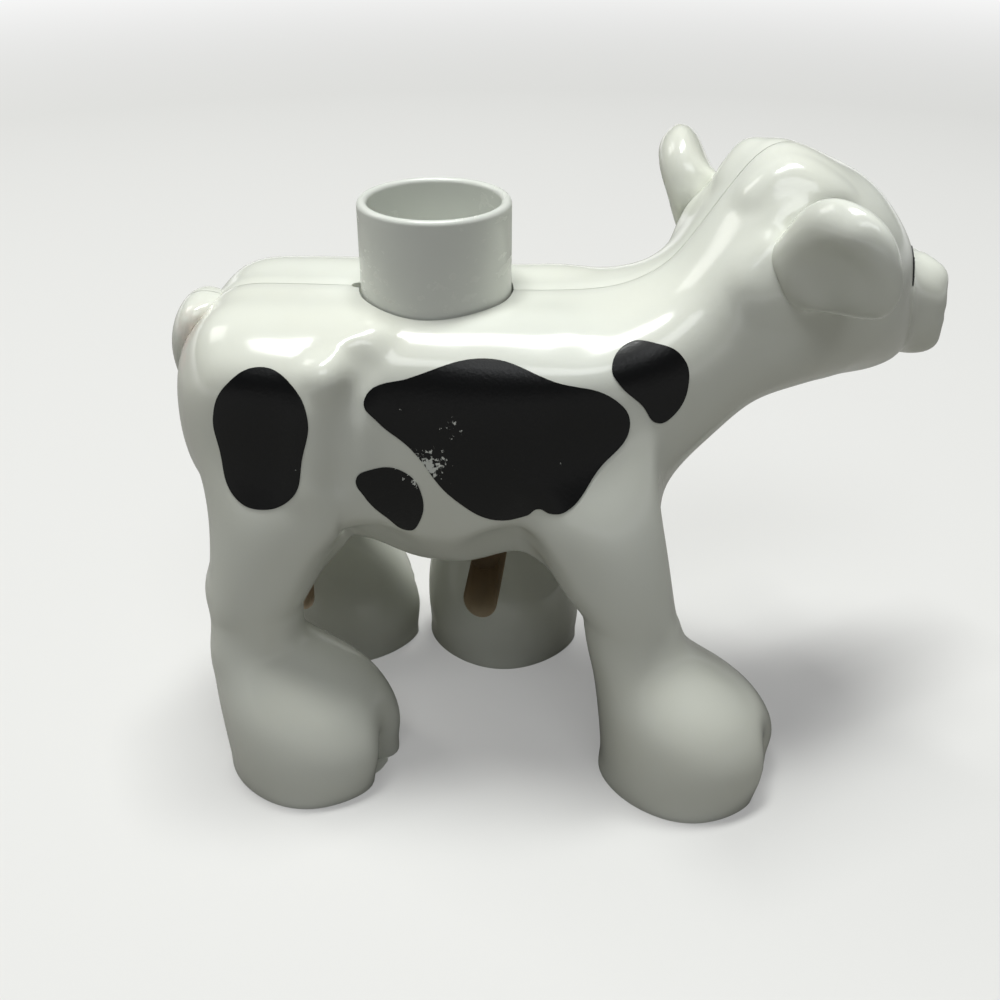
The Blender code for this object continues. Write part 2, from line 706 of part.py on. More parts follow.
def main():
    clear_scene()
    parts = collection("toy_calf")
    cutters = collection("cutters")
    white = plastic("white_shell_plastic", (0.79, 0.80, 0.75), 0.28)
    grey_white = plastic("stud_plastic", (0.72, 0.74, 0.70), 0.32)
    tail = as_cutter(object_of("tail", tail_cage(), cutters))
    tail.data.shade_smooth()
    subdivide(tail, SKIN_LEVELS)
    core(cutters)
    stud_envelope(cutters)
    floor_block(cutters)
    half_shell("right", parts, cutters, white)
    half_shell("left", parts, cutters, white)
    back_stud(parts, grey_white)
    stand_on_origin(list(bpy.data.objects))


main()
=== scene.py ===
# %% [markdown]
# # A toy calf in moulded plastic
# The real thing is a calf about five centimetres long, moulded in glossy white plastic as a right
# and a left half. A round hollow stud stands up from its back, held by a flange that the halves
# close over. Black patches are printed on its sides. This lesson builds the finished surfaces round
# the CAD frame: the frame says where everything is and how big it is, and nothing here moves it.

# %% Load the frame
import json
import math

import bmesh
import bpy
import numpy as np
from mathutils import Matrix, Vector

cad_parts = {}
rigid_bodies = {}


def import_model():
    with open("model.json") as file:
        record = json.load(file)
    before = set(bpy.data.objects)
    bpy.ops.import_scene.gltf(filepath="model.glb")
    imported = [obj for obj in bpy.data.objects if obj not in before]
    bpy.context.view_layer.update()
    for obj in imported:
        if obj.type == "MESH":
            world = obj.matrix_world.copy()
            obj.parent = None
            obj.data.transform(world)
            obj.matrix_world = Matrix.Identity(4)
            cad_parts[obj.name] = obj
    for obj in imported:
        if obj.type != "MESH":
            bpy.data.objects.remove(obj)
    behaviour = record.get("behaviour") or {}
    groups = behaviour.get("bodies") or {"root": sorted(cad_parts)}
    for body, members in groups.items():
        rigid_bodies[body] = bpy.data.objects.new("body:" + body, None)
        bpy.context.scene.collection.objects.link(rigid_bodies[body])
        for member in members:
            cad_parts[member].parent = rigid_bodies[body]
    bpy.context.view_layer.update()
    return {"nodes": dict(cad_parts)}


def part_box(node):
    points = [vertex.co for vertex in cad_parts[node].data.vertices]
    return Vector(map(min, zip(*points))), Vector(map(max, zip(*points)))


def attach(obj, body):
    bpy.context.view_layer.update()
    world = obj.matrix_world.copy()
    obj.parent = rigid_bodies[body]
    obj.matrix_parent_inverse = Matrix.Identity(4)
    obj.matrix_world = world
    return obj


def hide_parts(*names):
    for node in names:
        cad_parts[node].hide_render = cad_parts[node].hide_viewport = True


for obj in list(bpy.data.objects):
    bpy.data.objects.remove(obj, do_unlink=True)
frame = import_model()
MM = 0.001
print("CAD pieces:", ", ".join(sorted(frame["nodes"])))

# %% [markdown]
# The figure is drawn from the axis of the stud, because that is where the moulder would measure
# from. The stud's own box in the frame says where that axis is, so every piece made here is drawn
# from the axis and then moved there.

# %% Where the stud stands
stud_low, stud_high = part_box("back_stud")
STUD_AXIS = Vector(((stud_low.x + stud_high.x) / 2, (stud_low.y + stud_high.y) / 2, 0))
print("stud axis at", tuple(round(c / MM, 2) for c in STUD_AXIS), "mm")

# %% [markdown]
# ## Sizes
# The driving sizes are those of the CAD model. The clearances are the real ones, a few hundredths
# of a millimetre at the parting line, where the CAD model keeps a wider gap so that its solids
# never touch.

# %% Sizes of the figure
TORSO_LENGTH = 30.0 * MM
TORSO_WIDTH = 18.6 * MM
BACK_HEIGHT = 31.9 * MM
BELLY_HEIGHT = 14.0 * MM
STUD_PLACE_SHARE = 0.517
HEAD_REACH = 24.9 * MM
HEAD_RISE = 9.2 * MM
HEAD_DROP = 7.0 * MM
HEAD_WIDTH = 14.0 * MM
HEAD_TURN = math.radians(30)
TURN_LENGTH = 8.0 * MM
TURN_START_SHARE = 0.172
EAR_REACH = 10.9 * MM
EAR_WIDTH = 7.4 * MM
EAR_THICKNESS = 3.2 * MM
STANCE = 15.4 * MM
FOOT_LENGTH = 12.0 * MM
FOOT_WIDTH = 11.2 * MM
SHANK_LENGTH = 6.0 * MM
SHANK_WIDTH = 5.6 * MM
TAIL_LENGTH = 8.4 * MM
TAIL_WIDTH = 5.0 * MM
TAIL_STAND = 1.4 * MM
WALL = 1.8 * MM
SLOT_WIDTH = 2.7 * MM
PIN_DIAMETER = 2.4 * MM
PIN_LENGTH = 2.5 * MM
STUD_BORE = 8.1 * MM
STUD_DIAMETER = 9.35 * MM
STUD_FLOOR = 1.0 * MM
FLANGE_THICKNESS = 1.2 * MM
RIM_ROUND = 0.3 * MM
SEAM_GAP = 0.05 * MM
STUD_GAP = 0.13 * MM
OVERRUN = 2.0 * MM
FINE = 3
print("stud stands", round((stud_high.z - BACK_HEIGHT) / MM, 2), "mm above the back")

# %% [markdown]
# ## The photographer's table
# The camera stands a little in front of the calf's right side and looks down at it. Its place comes
# from matching the rim of the stud, which is a true circle, and the four soles, which all lie on
# the table.

# %% Camera
CAMERA_PLACE = Vector((7.29, -70.67, 58.95)) * MM
CAMERA_PITCH = math.radians(30.92)
CAMERA_YAW = math.radians(2.67)
CAMERA_ROLL = math.radians(0.14)
SENSOR = 36.0
FOCAL_LENGTH = 43.2


def camera_axes():
    ahead = Vector((-math.sin(CAMERA_YAW), math.cos(CAMERA_YAW), 0)) * math.cos(CAMERA_PITCH)
    ahead.z = -math.sin(CAMERA_PITCH)
    level = Vector((math.cos(CAMERA_YAW), math.sin(CAMERA_YAW), 0))
    above = level.cross(ahead)
    right = level * math.cos(CAMERA_ROLL) + above * math.sin(CAMERA_ROLL)
    return right, right.cross(ahead), -ahead


def add_object(name, data):
    obj = bpy.data.objects.new(name, data)
    bpy.context.scene.collection.objects.link(obj)
    return obj


camera = add_object("table_camera", bpy.data.cameras.new("table_camera"))
camera.data.sensor_width = SENSOR
camera.data.lens = FOCAL_LENGTH
camera.data.clip_start = MM
facing = Matrix(camera_axes()).transposed().to_4x4()
camera.matrix_world = Matrix.Translation(STUD_AXIS + CAMERA_PLACE) @ facing
bpy.context.scene.camera = camera
print("camera", round(CAMERA_PLACE.length / MM), "mm from the foot of the stud")

# %% [markdown]
# A shader is a small tree of nodes. The first helper adds one node, sets its plain values and joins
# its inputs, so that the recipes below read from top to bottom. The others stand for the few nodes
# that come up again and again.


# %% Helpers for node trees
def add_node(tree, kind, inputs=None, **settings):
    node = tree.nodes.new(kind)
    for name, value in settings.items():
        setattr(node, name, value)
    for socket, value in (inputs or {}).items():
        if isinstance(value, bpy.types.NodeSocket):
            tree.links.new(value, node.inputs[socket])
        else:
            node.inputs[socket].default_value = value
    return node


def math_node(tree, operation, first, second=0.0):
    return add_node(tree, "ShaderNodeMath", {0: first, 1: second}, operation=operation).outputs[0]


def larger(tree, first, second):
    return math_node(tree, "MAXIMUM", first, second)


def product(tree, first, second):
    return math_node(tree, "MULTIPLY", first, second)


def mix_colour(tree, share, first, second):
    return add_node(tree, "ShaderNodeMix", {0: share, 6: first, 7: second}, data_type="RGBA").outputs[2]


def object_place(tree):
    """Where a point is in the object's own coordinates, so that a pattern stays with the solid."""
    return add_node(tree, "ShaderNodeTexCoord").outputs["Object"]


def new_material(name, **constants):
    """A material with its Principled shader, whose unchanging values are set on its own sockets."""
    material = bpy.data.materials.new(name)
    material.use_nodes = True
    shader = material.node_tree.nodes["Principled BSDF"]
    for socket, value in constants.items():
        shader.inputs[socket.replace("_", " ")].default_value = value
    return material, material.node_tree, shader


# %% [markdown]
# The table is a plain pale sheet that catches the soft shadow under the calf. A real table under a
# white toy is rarely as white as the toy, and a pale one would throw so much light back that the
# calf's sides went flat. So the table looks pale to the camera only, and throws back the light of a
# mid grey one. Far away it fades into the white background, in reflections too. The Light Path node
# tells the rays apart.

# %% Floor
FLOOR_SIZE = 6.0
FLOOR_SEEN = (0.70, 0.695, 0.68, 1)
FLOOR_BOUNCE = (0.30, 0.295, 0.28, 1)
FADE_FROM, FADE_TO = 0.10, 0.45
SHADOW_LIFT = 0.22


def mesh_object(name, bm):
    """An object whose mesh is taken from a bmesh, which is then freed."""
    mesh = bpy.data.meshes.new(name)
    bm.to_mesh(mesh)
    bm.free()
    return add_object(name, mesh)


def make_floor_material():
    material, tree, shader = new_material("pale_table", Roughness=0.85, Specular_IOR_Level=0.2)
    rays = add_node(tree, "ShaderNodeLightPath").outputs
    straight = rays["Is Camera Ray"]
    seen = larger(tree, straight, larger(tree, rays["Is Glossy Ray"], rays["Is Transmission Ray"]))
    tint = mix_colour(tree, straight, FLOOR_BOUNCE, FLOOR_SEEN)
    tree.links.new(tint, shader.inputs["Base Color"])
    distance = add_node(tree, "ShaderNodeVectorMath", {0: object_place(tree)}, operation="LENGTH")
    far = add_node(
        tree,
        "ShaderNodeMapRange",
        {"Value": distance.outputs["Value"], "From Min": FADE_FROM, "From Max": FADE_TO},
        interpolation_type="SMOOTHSTEP",
    ).outputs[0]
    fade = larger(tree, product(tree, far, seen), product(tree, straight, SHADOW_LIFT))
    white = add_node(tree, "ShaderNodeEmission", {"Color": (1, 1, 1, 1), "Strength": 1.0})
    mix = add_node(tree, "ShaderNodeMixShader", {0: fade, 1: shader.outputs[0], 2: white.outputs[0]})
    tree.links.new(mix.outputs[0], tree.nodes["Material Output"].inputs["Surface"])
    return material


def make_floor():
    bm = bmesh.new()
    bmesh.ops.create_grid(bm, x_segments=1, y_segments=1, size=FLOOR_SIZE / 2)
    floor = mesh_object("pale_table", bm)
    floor.data.materials.append(make_floor_material())


make_floor()
print("floor:", FLOOR_SIZE, "m wide, white from", FADE_TO, "m on")

# %% [markdown]
# Glossy plastic is shown by what it mirrors. A long lamp above and a little beyond the calf draws
# the highlights along the back, the crown and the ears, as in the photograph. A smaller one from
# the tail end lights the rump, and a faint one above the camera lights the upper flank and puts a
# sheen on the print. All are large for a 50 mm toy, so their shadows have soft edges.

# %% Lamps and room
KEY_POWER = 2.8
SIDE_POWER = 0.30
FILL_POWER = 0.62
ROOM_COLOUR = (1.0, 0.99, 0.96, 1)
ROOM_STRENGTH = 0.05


def add_lamp(name, place, aim, size, power, colour):
    lamp = bpy.data.lights.new(name, "AREA")
    lamp.shape = "RECTANGLE"
    lamp.size, lamp.size_y = size
    lamp.energy = power
    lamp.color = colour
    obj = add_object(name, lamp)
    obj.location = STUD_AXIS + Vector(place)
    obj.rotation_euler = (Vector(aim) - Vector(place)).to_track_quat("-Z", "Y").to_euler()


def light_room():
    """A dim even room. Whatever looks straight past the table sees plain white."""
    world = bpy.data.worlds.new("soft_room")
    world.use_nodes = True
    tree = world.node_tree
    room = tree.nodes["Background"]
    room.inputs["Color"].default_value = ROOM_COLOUR
    room.inputs["Strength"].default_value = ROOM_STRENGTH
    white = add_node(tree, "ShaderNodeBackground", {"Color": (1, 1, 1, 1), "Strength": 1.0})
    seen = add_node(tree, "ShaderNodeLightPath").outputs["Is Camera Ray"]
    mix = add_node(tree, "ShaderNodeMixShader", {0: seen, 1: room.outputs[0], 2: white.outputs[0]})
    tree.links.new(mix.outputs[0], tree.nodes["World Output"].inputs["Surface"])
    bpy.context.scene.world = world


LAMPS = (
    ("window_overhead", (-0.02, 0.05, 0.55), (0.01, 0, 0.02), (0.30, 0.09), KEY_POWER, (0.98, 1.0, 0.98)),
    ("window_side", (-0.34, 0.16, 0.34), (0, 0, 0.02), (0.14, 0.20), SIDE_POWER, (1.0, 0.99, 0.95)),
    ("sky_behind_camera", (0.02, -0.30, 0.46), (0, 0, 0.02), (0.34, 0.16), FILL_POWER, (0.96, 0.98, 1.0)),
)
for lamp in LAMPS:
    add_lamp(*lamp)
light_room()
bpy.context.scene.view_settings.view_transform = "Standard"

# %% [markdown]
# ## Finishes
# A polished mould still leaves a faint orange peel on the plastic, and years of play leave hair
# scratches and tiny dark specks. The shell, the stud and the print all have both, so each effect is
# built once as a shader group and used with its own strength. The pattern reads Object coordinates,
# so it stays with the solid from every side.


# %% Orange peel of the mould
WAVES_PER_METRE = 260.0


def shader_group(name, inputs, outputs):
    group = bpy.data.node_groups.new(name, "ShaderNodeTree")
    for socket, value in inputs.items():
        made = group.interface.new_socket(socket, in_out="INPUT", socket_type="NodeSocketFloat")
        made.default_value = value
    for socket in outputs:
        group.interface.new_socket(socket, in_out="OUTPUT", socket_type="NodeSocketFloat")
    entry = group.nodes.new("NodeGroupInput")
    leave = group.nodes.new("NodeGroupOutput")
    return group, entry, leave, object_place(group)


def noise(tree, place, scale, detail, **more):
    """A cloudy pattern between nought and one, with so many features to the metre."""
    inputs = {"Vector": place, "Scale": scale, "Detail": detail, **more}
    return add_node(tree, "ShaderNodeTexNoise", inputs).outputs["Fac"]


def sum_of_product(tree, first, factor, other):
    inputs = {0: first, 1: factor, 2: other}
    return add_node(tree, "ShaderNodeMath", inputs, operation="MULTIPLY_ADD").outputs[0]


def make_orange_peel():
    inputs = {"Grains per metre": 3000, "Waviness": 0.4}
    group, entry, leave, place = shader_group("orange_peel", inputs, ["Height"])
    fine = noise(group, place, entry.outputs["Grains per metre"], 2.0)
    broad = noise(group, place, WAVES_PER_METRE, 1.0)
    height = sum_of_product(group, broad, entry.outputs["Waviness"], fine)
    group.links.new(height, leave.inputs["Height"])
    return group


orange_peel = make_orange_peel()
print("orange peel:", len(orange_peel.nodes), "nodes")


# %% Marks of handling
SCUFF_DIRECTIONS = ((0.5, 0.16), (2.0, 0.12))
SCUFFS_PER_METRE = 1500.0
SCUFF_PEAKS = (0.64, 0.70)
RUBBED_PER_METRE = 130.0
RUBBED_PEAKS = (0.48, 0.62)
SPECKS_PER_METRE = 210.0
SPECK_EDGE, SPECK_CORE = 0.025, 0.015


def band(tree, value, low, high):
    """Nought at one value and one at another, with a straight ramp between and level ends."""
    inputs = {"Value": value, "From Min": low, "From Max": high}
    return add_node(tree, "ShaderNodeMapRange", inputs, clamp=True).outputs["Result"]


def make_handling_marks():
    """Scuffs are thin streaks where a stretched noise peaks, and specks are the cores of sparse cells."""
    group, entry, leave, place = shader_group("handling_marks", {"Wear": 0.5}, ["Scuffs", "Specks"])
    wear = entry.outputs["Wear"]
    streaks = 0.0
    for turn, stretch in SCUFF_DIRECTIONS:
        inputs = {"Vector": place, "Rotation": (0.3, turn, 0.8), "Scale": (1, stretch, 1)}
        stretched = add_node(group, "ShaderNodeMapping", inputs).outputs[0]
        peaks = band(group, noise(group, stretched, SCUFFS_PER_METRE, 3.0), *SCUFF_PEAKS)
        streaks = larger(group, peaks, streaks)
    where = band(group, noise(group, place, RUBBED_PER_METRE, 2.0), *RUBBED_PEAKS)
    scuffs = product(group, product(group, streaks, where), wear)
    cells = add_node(group, "ShaderNodeTexVoronoi", {"Vector": place, "Scale": SPECKS_PER_METRE})
    specks = product(group, band(group, cells.outputs["Distance"], SPECK_EDGE, SPECK_CORE), wear)
    group.links.new(scuffs, leave.inputs["Scuffs"])
    group.links.new(specks, leave.inputs["Specks"])
    return group


handling_marks = make_handling_marks()
print("handling marks:", len(handling_marks.nodes), "nodes")


# %% Helpers for the finishes
def moulded_surface(tree, shader, grains, waviness, wear, clean, scuffed, strength, depth):
    """Grain, and a roughness from that of the clean finish to that of a scuff. Returns the marks."""
    inputs = {"Grains per metre": grains, "Waviness": waviness}
    peel = add_node(tree, "ShaderNodeGroup", inputs, node_tree=orange_peel)
    marks = add_node(tree, "ShaderNodeGroup", {"Wear": wear}, node_tree=handling_marks).outputs
    inputs = {"Value": marks["Scuffs"], "To Min": clean, "To Max": scuffed}
    shade = add_node(tree, "ShaderNodeMapRange", inputs)
    tree.links.new(shade.outputs["Result"], shader.inputs["Roughness"])
    inputs = {"Height": peel.outputs["Height"], "Strength": strength, "Distance": depth}
    bump = add_node(tree, "ShaderNodeBump", inputs)
    tree.links.new(bump.outputs["Normal"], shader.inputs["Normal"])
    return marks


def blot(tree, centre, reach):
    """One at a place in the figure and nought beyond a reach from it."""
    inputs = {0: object_place(tree), 1: STUD_AXIS + Vector(centre)}
    away = add_node(tree, "ShaderNodeVectorMath", inputs, operation="DISTANCE")
    return band(tree, away.outputs["Value"], reach, 0.0)


# %% [markdown]
# The shell is a hard glossy plastic, white with a little green and yellow in it. It is not quite
# even: there is a faint mottle, and somebody's red crayon has left a pale smear on the rump. The
# cored slots of the legs are painted a warm brown, a painted shade with painted light bounced into
# them.

# %% Shell plastic
SHELL_SURFACE = dict(
    grains=2600, waviness=1.4, wear=0.3, clean=0.15, scuffed=0.40, strength=0.10, depth=0.03 * MM
)
SHELL_WHITE = (0.79, 0.81, 0.745, 1)
SHELL_AGED = (0.765, 0.775, 0.69, 1)
# Painted shade and bounced light: the warm brown laid on the walls and floors of the leg slots.
SLOT_PAINTED_BOUNCE = (0.70, 0.58, 0.43, 1)
SPECK_BROWN = (0.10, 0.08, 0.06, 1)
SMEAR_PINK = (0.80, 0.50, 0.47, 1)
SMEAR_PLACE = (-15.1 * MM, -3.4 * MM, 29.5 * MM)
SMEAR_REACH = 3.2 * MM
SMEAR_STRENGTH = 0.55
CLOUDS_PER_METRE = 90.0
STREAKS_PER_METRE = 700.0


def make_shell_plastic():
    material, tree, shader = new_material("white_shell_plastic", IOR=1.53, Subsurface_Weight=0.06)
    shader.inputs["Subsurface Radius"].default_value = (1.2, 1.2, 1.0)
    shader.inputs["Subsurface Scale"].default_value = MM
    marks = moulded_surface(tree, shader, **SHELL_SURFACE)
    place = object_place(tree)
    mottle = band(tree, noise(tree, place, CLOUDS_PER_METRE, 3.0), 0.35, 0.75)
    colour = mix_colour(tree, mottle, SHELL_WHITE, SHELL_AGED)
    streaky = band(tree, noise(tree, place, STREAKS_PER_METRE, 4.0), 0.42, 0.75)
    smear = product(tree, blot(tree, SMEAR_PLACE, SMEAR_REACH), streaky)
    colour = mix_colour(tree, product(tree, smear, SMEAR_STRENGTH), colour, SMEAR_PINK)
    colour = mix_colour(tree, marks["Specks"], colour, SPECK_BROWN)
    # The slot faces take a painted warm shade and bounced light, through the attribute that marks them.
    painted_bounce = add_node(tree, "ShaderNodeAttribute", attribute_name="painted_bounce")
    colour = mix_colour(tree, painted_bounce.outputs["Fac"], colour, SLOT_PAINTED_BOUNCE)
    tree.links.new(colour, shader.inputs["Base Color"])
    return material


shell_plastic = make_shell_plastic()
print(shell_plastic.name, len(shell_plastic.node_tree.nodes), "nodes")

# %% [markdown]
# The stud is moulded from its own batch, a shade greyer and duller than the shell, with rub marks
# where other pieces have been pushed over it.

# %% Stud plastic
STUD_SURFACE = dict(
    grains=3400, waviness=0.8, wear=1.0, clean=0.27, scuffed=0.5, strength=0.14, depth=0.03 * MM
)
STUD_WHITE = (0.745, 0.765, 0.715, 1)
STUD_RUBBED = (0.68, 0.69, 0.64, 1)


def make_stud_plastic():
    material, tree, shader = new_material("stud_plastic", IOR=1.53)
    marks = moulded_surface(tree, shader, **STUD_SURFACE)
    colour = mix_colour(tree, marks["Scuffs"], STUD_WHITE, STUD_RUBBED)
    colour = mix_colour(tree, marks["Specks"], colour, SPECK_BROWN)
    tree.links.new(colour, shader.inputs["Base Color"])
    return material


stud_plastic = make_stud_plastic()
print(stud_plastic.name, len(stud_plastic.node_tree.nodes), "nodes")

# %% [markdown]
# The patches are pad-printed: a soft silicone pad lays a thin coat of black ink on the curved
# flank. The ink takes the grain of the pad, and it has chipped where fingers hold the calf, which
# shows as a cluster of small white flecks. Two noises make them: a fine one gives each fleck its
# ragged edge, and a blot keeps them in one place.

# %% Print ink
INK_SURFACE = dict(
    grains=5200, waviness=0.3, wear=0.7, clean=0.36, scuffed=0.46, strength=0.35, depth=0.04 * MM
)
INK_BLACK = (0.0022, 0.0024, 0.0028, 1)
BARE_WHITE = (0.70, 0.72, 0.68, 1)
CHIPPED = (
    ((0.1 * MM, -8.7 * MM, 23.8 * MM), 2.3 * MM, 1.06),
    ((1.6 * MM, -8.5 * MM, 26.7 * MM), 1.2 * MM, 0.78),
)
CHIPS_PER_METRE = 2500.0


def make_print_ink():
    material, tree, shader = new_material("black_print_ink", IOR=1.5, Specular_IOR_Level=0.35)
    moulded_surface(tree, shader, **INK_SURFACE)
    ragged = noise(tree, object_place(tree), CHIPS_PER_METRE, 5.0, Roughness=0.66)
    chips = 0.0
    for centre, reach, strength in CHIPPED:
        chips = larger(tree, product(tree, blot(tree, centre, reach), strength), chips)
    bare = band(tree, sum_of_product(tree, chips, 0.28, ragged), 0.735, 0.76)
    tree.links.new(mix_colour(tree, bare, INK_BLACK, BARE_WHITE), shader.inputs["Base Color"])
    return material


print_ink = make_print_ink()
print(print_ink.name, len(print_ink.node_tree.nodes), "nodes")

# %% [markdown]
# ## The form of the calf
# The body, neck, head, legs and ears are one flowing surface. It could be sculpted, but a cage of a
# few hundred four-sided faces, smoothed by a Subdivision Surface, keeps every size in reach. The
# calf is drawn straight first, with x towards its head, and each point is then bent round a curve
# at the neck, so that it looks to its left.

# %% Bending the neck


def torso_x(share):
    return (share - STUD_PLACE_SHARE) * TORSO_LENGTH


WITHERS_X = torso_x(0.870)
TURN_START = WITHERS_X + (HEAD_REACH - TURN_LENGTH) * TURN_START_SHARE
TURN_RADIUS = TURN_LENGTH / HEAD_TURN


def neck_frame(along):
    """The place and the heading, in plan, of a distance along the calf once its neck is bent."""
    bent = min(max(along - TURN_START, 0.0), TURN_LENGTH)
    heading = HEAD_TURN * bent / TURN_LENGTH
    start = Vector((min(along, TURN_START), 0.0))
    arc = Vector((math.sin(heading), 1 - math.cos(heading))) * TURN_RADIUS
    past = max(along - bent - TURN_START, 0.0)
    return start + arc + past * Vector((math.cos(heading), math.sin(heading))), heading


def turned(point, carried_at=None):
    """Bends a point of the straight calf. A rigid piece is carried round at one place along the neck."""
    along = point[0] if carried_at is None else carried_at
    place, heading = neck_frame(along)
    ahead = Vector((math.cos(heading), math.sin(heading)))
    left = Vector((-math.sin(heading), math.cos(heading)))
    plan = place + (point[0] - along) * ahead + point[1] * left
    return Vector((plan.x, plan.y, point[2]))


print("the neck bends over", TURN_LENGTH / MM, "mm on a radius of", round(TURN_RADIUS / MM, 1), "mm")

# %% [markdown]
# Each row below is one ring round the body, from the rump to the muzzle: where its top and its
# underside lie, their heights, the half width, and how square its upper corners are. Shares of the
# driving sizes keep the proportions when a size is changed.

# %% Rings of the body
TORSO_SHARES = (
    (0.034, 0.048, 0.955, 1.30, 0.80, 0.66),
    (0.100, 0.112, 0.997, 1.18, 0.98, 0.56),
    (0.207, 0.215, 1.004, 1.13, 1.04, 0.52),
    (0.340, 0.350, 1.003, 1.10, 1.04, 0.50),
    (0.435, 0.450, 1.000, 1.03, 0.92, 0.52),
    (0.567, 0.567, 1.000, 1.00, 0.94, 0.50),
    (0.683, 0.683, 1.000, 1.05, 0.96, 0.50),
    (0.783, 0.790, 1.002, 1.14, 0.98, 0.52),
    (0.870, 0.897, 1.010, 1.24, 0.93, 0.58),
)
HEAD_SHARES = (
    (0.082, 0.155, 0.11, 1.74, 1.10, 0.68),
    (0.155, 0.242, 0.25, 1.30, 0.95, 0.78),
    (0.219, 0.331, 0.48, 1.03, 0.88, 0.86),
    (0.283, 0.428, 0.72, 0.96, 0.90, 0.90),
    (0.351, 0.524, 0.91, 0.95, 0.94, 0.90),
    (0.436, 0.612, 0.97, 0.98, 0.95, 0.90),
    (0.527, 0.680, 0.88, 1.00, 0.93, 0.86),
    (0.620, 0.730, 0.73, 0.99, 0.86, 0.84),
    (0.700, 0.775, 0.50, 0.96, 0.72, 0.82),
    (0.757, 0.815, 0.27, 0.93, 0.55, 0.78),
    (0.820, 0.862, 0.09, 0.94, 0.46, 0.74),
    (0.920, 0.930, 0.01, 0.96, 0.46, 0.72),
)
RUMP_BULGE_SHARE = 0.075
MUZZLE_BULGE_SHARE = 0.045
RING_POINTS = 16


def body_rings():
    rings = []
    for top_x, low_x, back, belly, width, roundness in TORSO_SHARES:
        top = Vector((torso_x(top_x), back * BACK_HEIGHT))
        low = Vector((torso_x(low_x), belly * BELLY_HEIGHT))
        rings.append((top, low, width * TORSO_WIDTH / 2, roundness))
    for top_x, low_x, rise, drop, width, roundness in HEAD_SHARES:
        top = Vector((WITHERS_X + top_x * HEAD_REACH, BACK_HEIGHT + rise * HEAD_RISE))
        low = Vector((WITHERS_X + low_x * HEAD_REACH, BACK_HEIGHT - drop * HEAD_DROP))
        rings.append((top, low, width * HEAD_WIDTH / 2, roundness))
    return rings


def ring_points(top, low, half_width, roundness, count=RING_POINTS, inset=0.0):
    """Points of one ring, from the top round the right side."""
    axis = (top - low).normalized()
    middle = (top + low) / 2
    half_height = (top - low).length / 2 - inset
    points = []
    for n in range(count):
        angle = 2 * math.pi * n / count
        rise, side = math.cos(angle), -math.sin(angle)
        power = roundness if rise > 0 else (1 + roundness) / 2
        rise = math.copysign(abs(rise) ** power, rise)
        side = math.copysign(abs(side) ** ((1 + roundness) / 2), side)
        place = middle + axis * half_height * rise
        points.append(Vector((place.x, side * (half_width - inset), place.y)))
    return points


print(len(body_rings()), "rings of", RING_POINTS, "points")

# %% [markdown]
# Two small tools make the whole cage: one joins two rings with a band of faces, and the other
# closes a ring with a little grid of faces, domed a bit, which smooths far better than a fan of
# triangles.


# %% Joining and closing rings
def bridge(bm, first, second, skip=()):
    for n, _ in enumerate(first):
        if n not in skip:
            after = (n + 1) % len(first)
            bm.faces.new((first[n], first[after], second[after], second[n]))


def grid_cap(bm, ring, corner, bulge):
    """Closes a ring of 4n points with n by n faces, raised at the middle by the vector bulge."""
    n = len(ring) // 4
    around = [ring[(corner + k) % len(ring)] for k in range(len(ring))]
    grid = {}
    for k in range(n + 1):
        grid[k, 0] = around[k]
        grid[n, k] = around[n + k]
        grid[n - k, n] = around[2 * n + k]
        grid[0, n - k] = around[(3 * n + k) % len(ring)]
    for i in range(1, n):
        for j in range(1, n):
            u, v = i / n, j / n
            across = grid[0, j].co.lerp(grid[n, j].co, u)
            along = grid[i, 0].co.lerp(grid[i, n].co, v)
            low_edge = grid[0, 0].co.lerp(grid[n, 0].co, u)
            high_edge = grid[0, n].co.lerp(grid[n, n].co, u)
            crown = 16 * u * (1 - u) * v * (1 - v)
            grid[i, j] = bm.verts.new(across + along - low_edge.lerp(high_edge, v) + bulge * crown)
    for i in range(n):
        for j in range(n):
            bm.faces.new((grid[i, j], grid[i + 1, j], grid[i + 1, j + 1], grid[i, j + 1]))


def hole_edge(rings, first, steps, top, low, side):
    """The points round a hole in the body's side: along its top, down its front, back and up."""

    def at(step, point):
        return rings[first + step][point if side < 0 else -point % RING_POINTS]

    edge = [at(n, top) for n in range(steps)]
    edge += [at(steps, top + n) for n in range(steps)]
    edge += [at(steps - n, low) for n in range(steps)]
    edge += [at(0, low - n) for n in range(steps)]
    return edge


# %% [markdown]
# A leg grows out of a hole in the flank: a stack of rounded rectangles from the thigh down to a
# broad foot. The fore legs differ, as on the real calf, which is caught in mid-step: the left one
# is swept back under the chest.

# %% Legs
LEG_SHARES = {
    "right_hind": (-1, 0, 0.215, 0.132, 0.125, 0.232),
    "left_hind": (1, 0, 0.215, 0.132, 0.125, 0.232),
    "right_fore": (-1, 6, 0.865, 0.935, 0.965, 1.090),
    "left_fore": (1, 6, 0.815, 0.665, 0.590, 0.650),
}
LEG_PLACES = ("thigh", "knee", "ankle", "foot")
LEG_RING_SHARES = (
    (1.12, "thigh", "knee", 0.36, 0.26),
    (0.98, "thigh", "knee", 0.90, 0.08),
    (0.88, "knee", "ankle", 0.40, 0.04),
    (0.75, "knee", "ankle", 1.00, 0.12),
    (0.61, "ankle", "foot", 0.34, 0.40),
    (0.44, "ankle", "foot", 0.76, 0.80),
    (0.23, "ankle", "foot", 1.00, 0.99),
    (0.06, "ankle", "foot", 1.00, 0.94),
    (-0.05, "ankle", "foot", 1.00, 0.80),
)
CLIMB_START_SHARE = 0.84
CLIMB_SHARE = 1.8
ROOT_SHARE = 0.6
FIRST_CORNER = math.radians(225)
LEG_TOP_POINT, LEG_LOW_POINT = 4, 7
LEG_STEPS = LEG_LOW_POINT - LEG_TOP_POINT


def leg_centre(shares, start, end, part_way):
    centres = dict(zip(LEG_PLACES, shares[2:]))
    return torso_x(centres[start] + (centres[end] - centres[start]) * part_way)


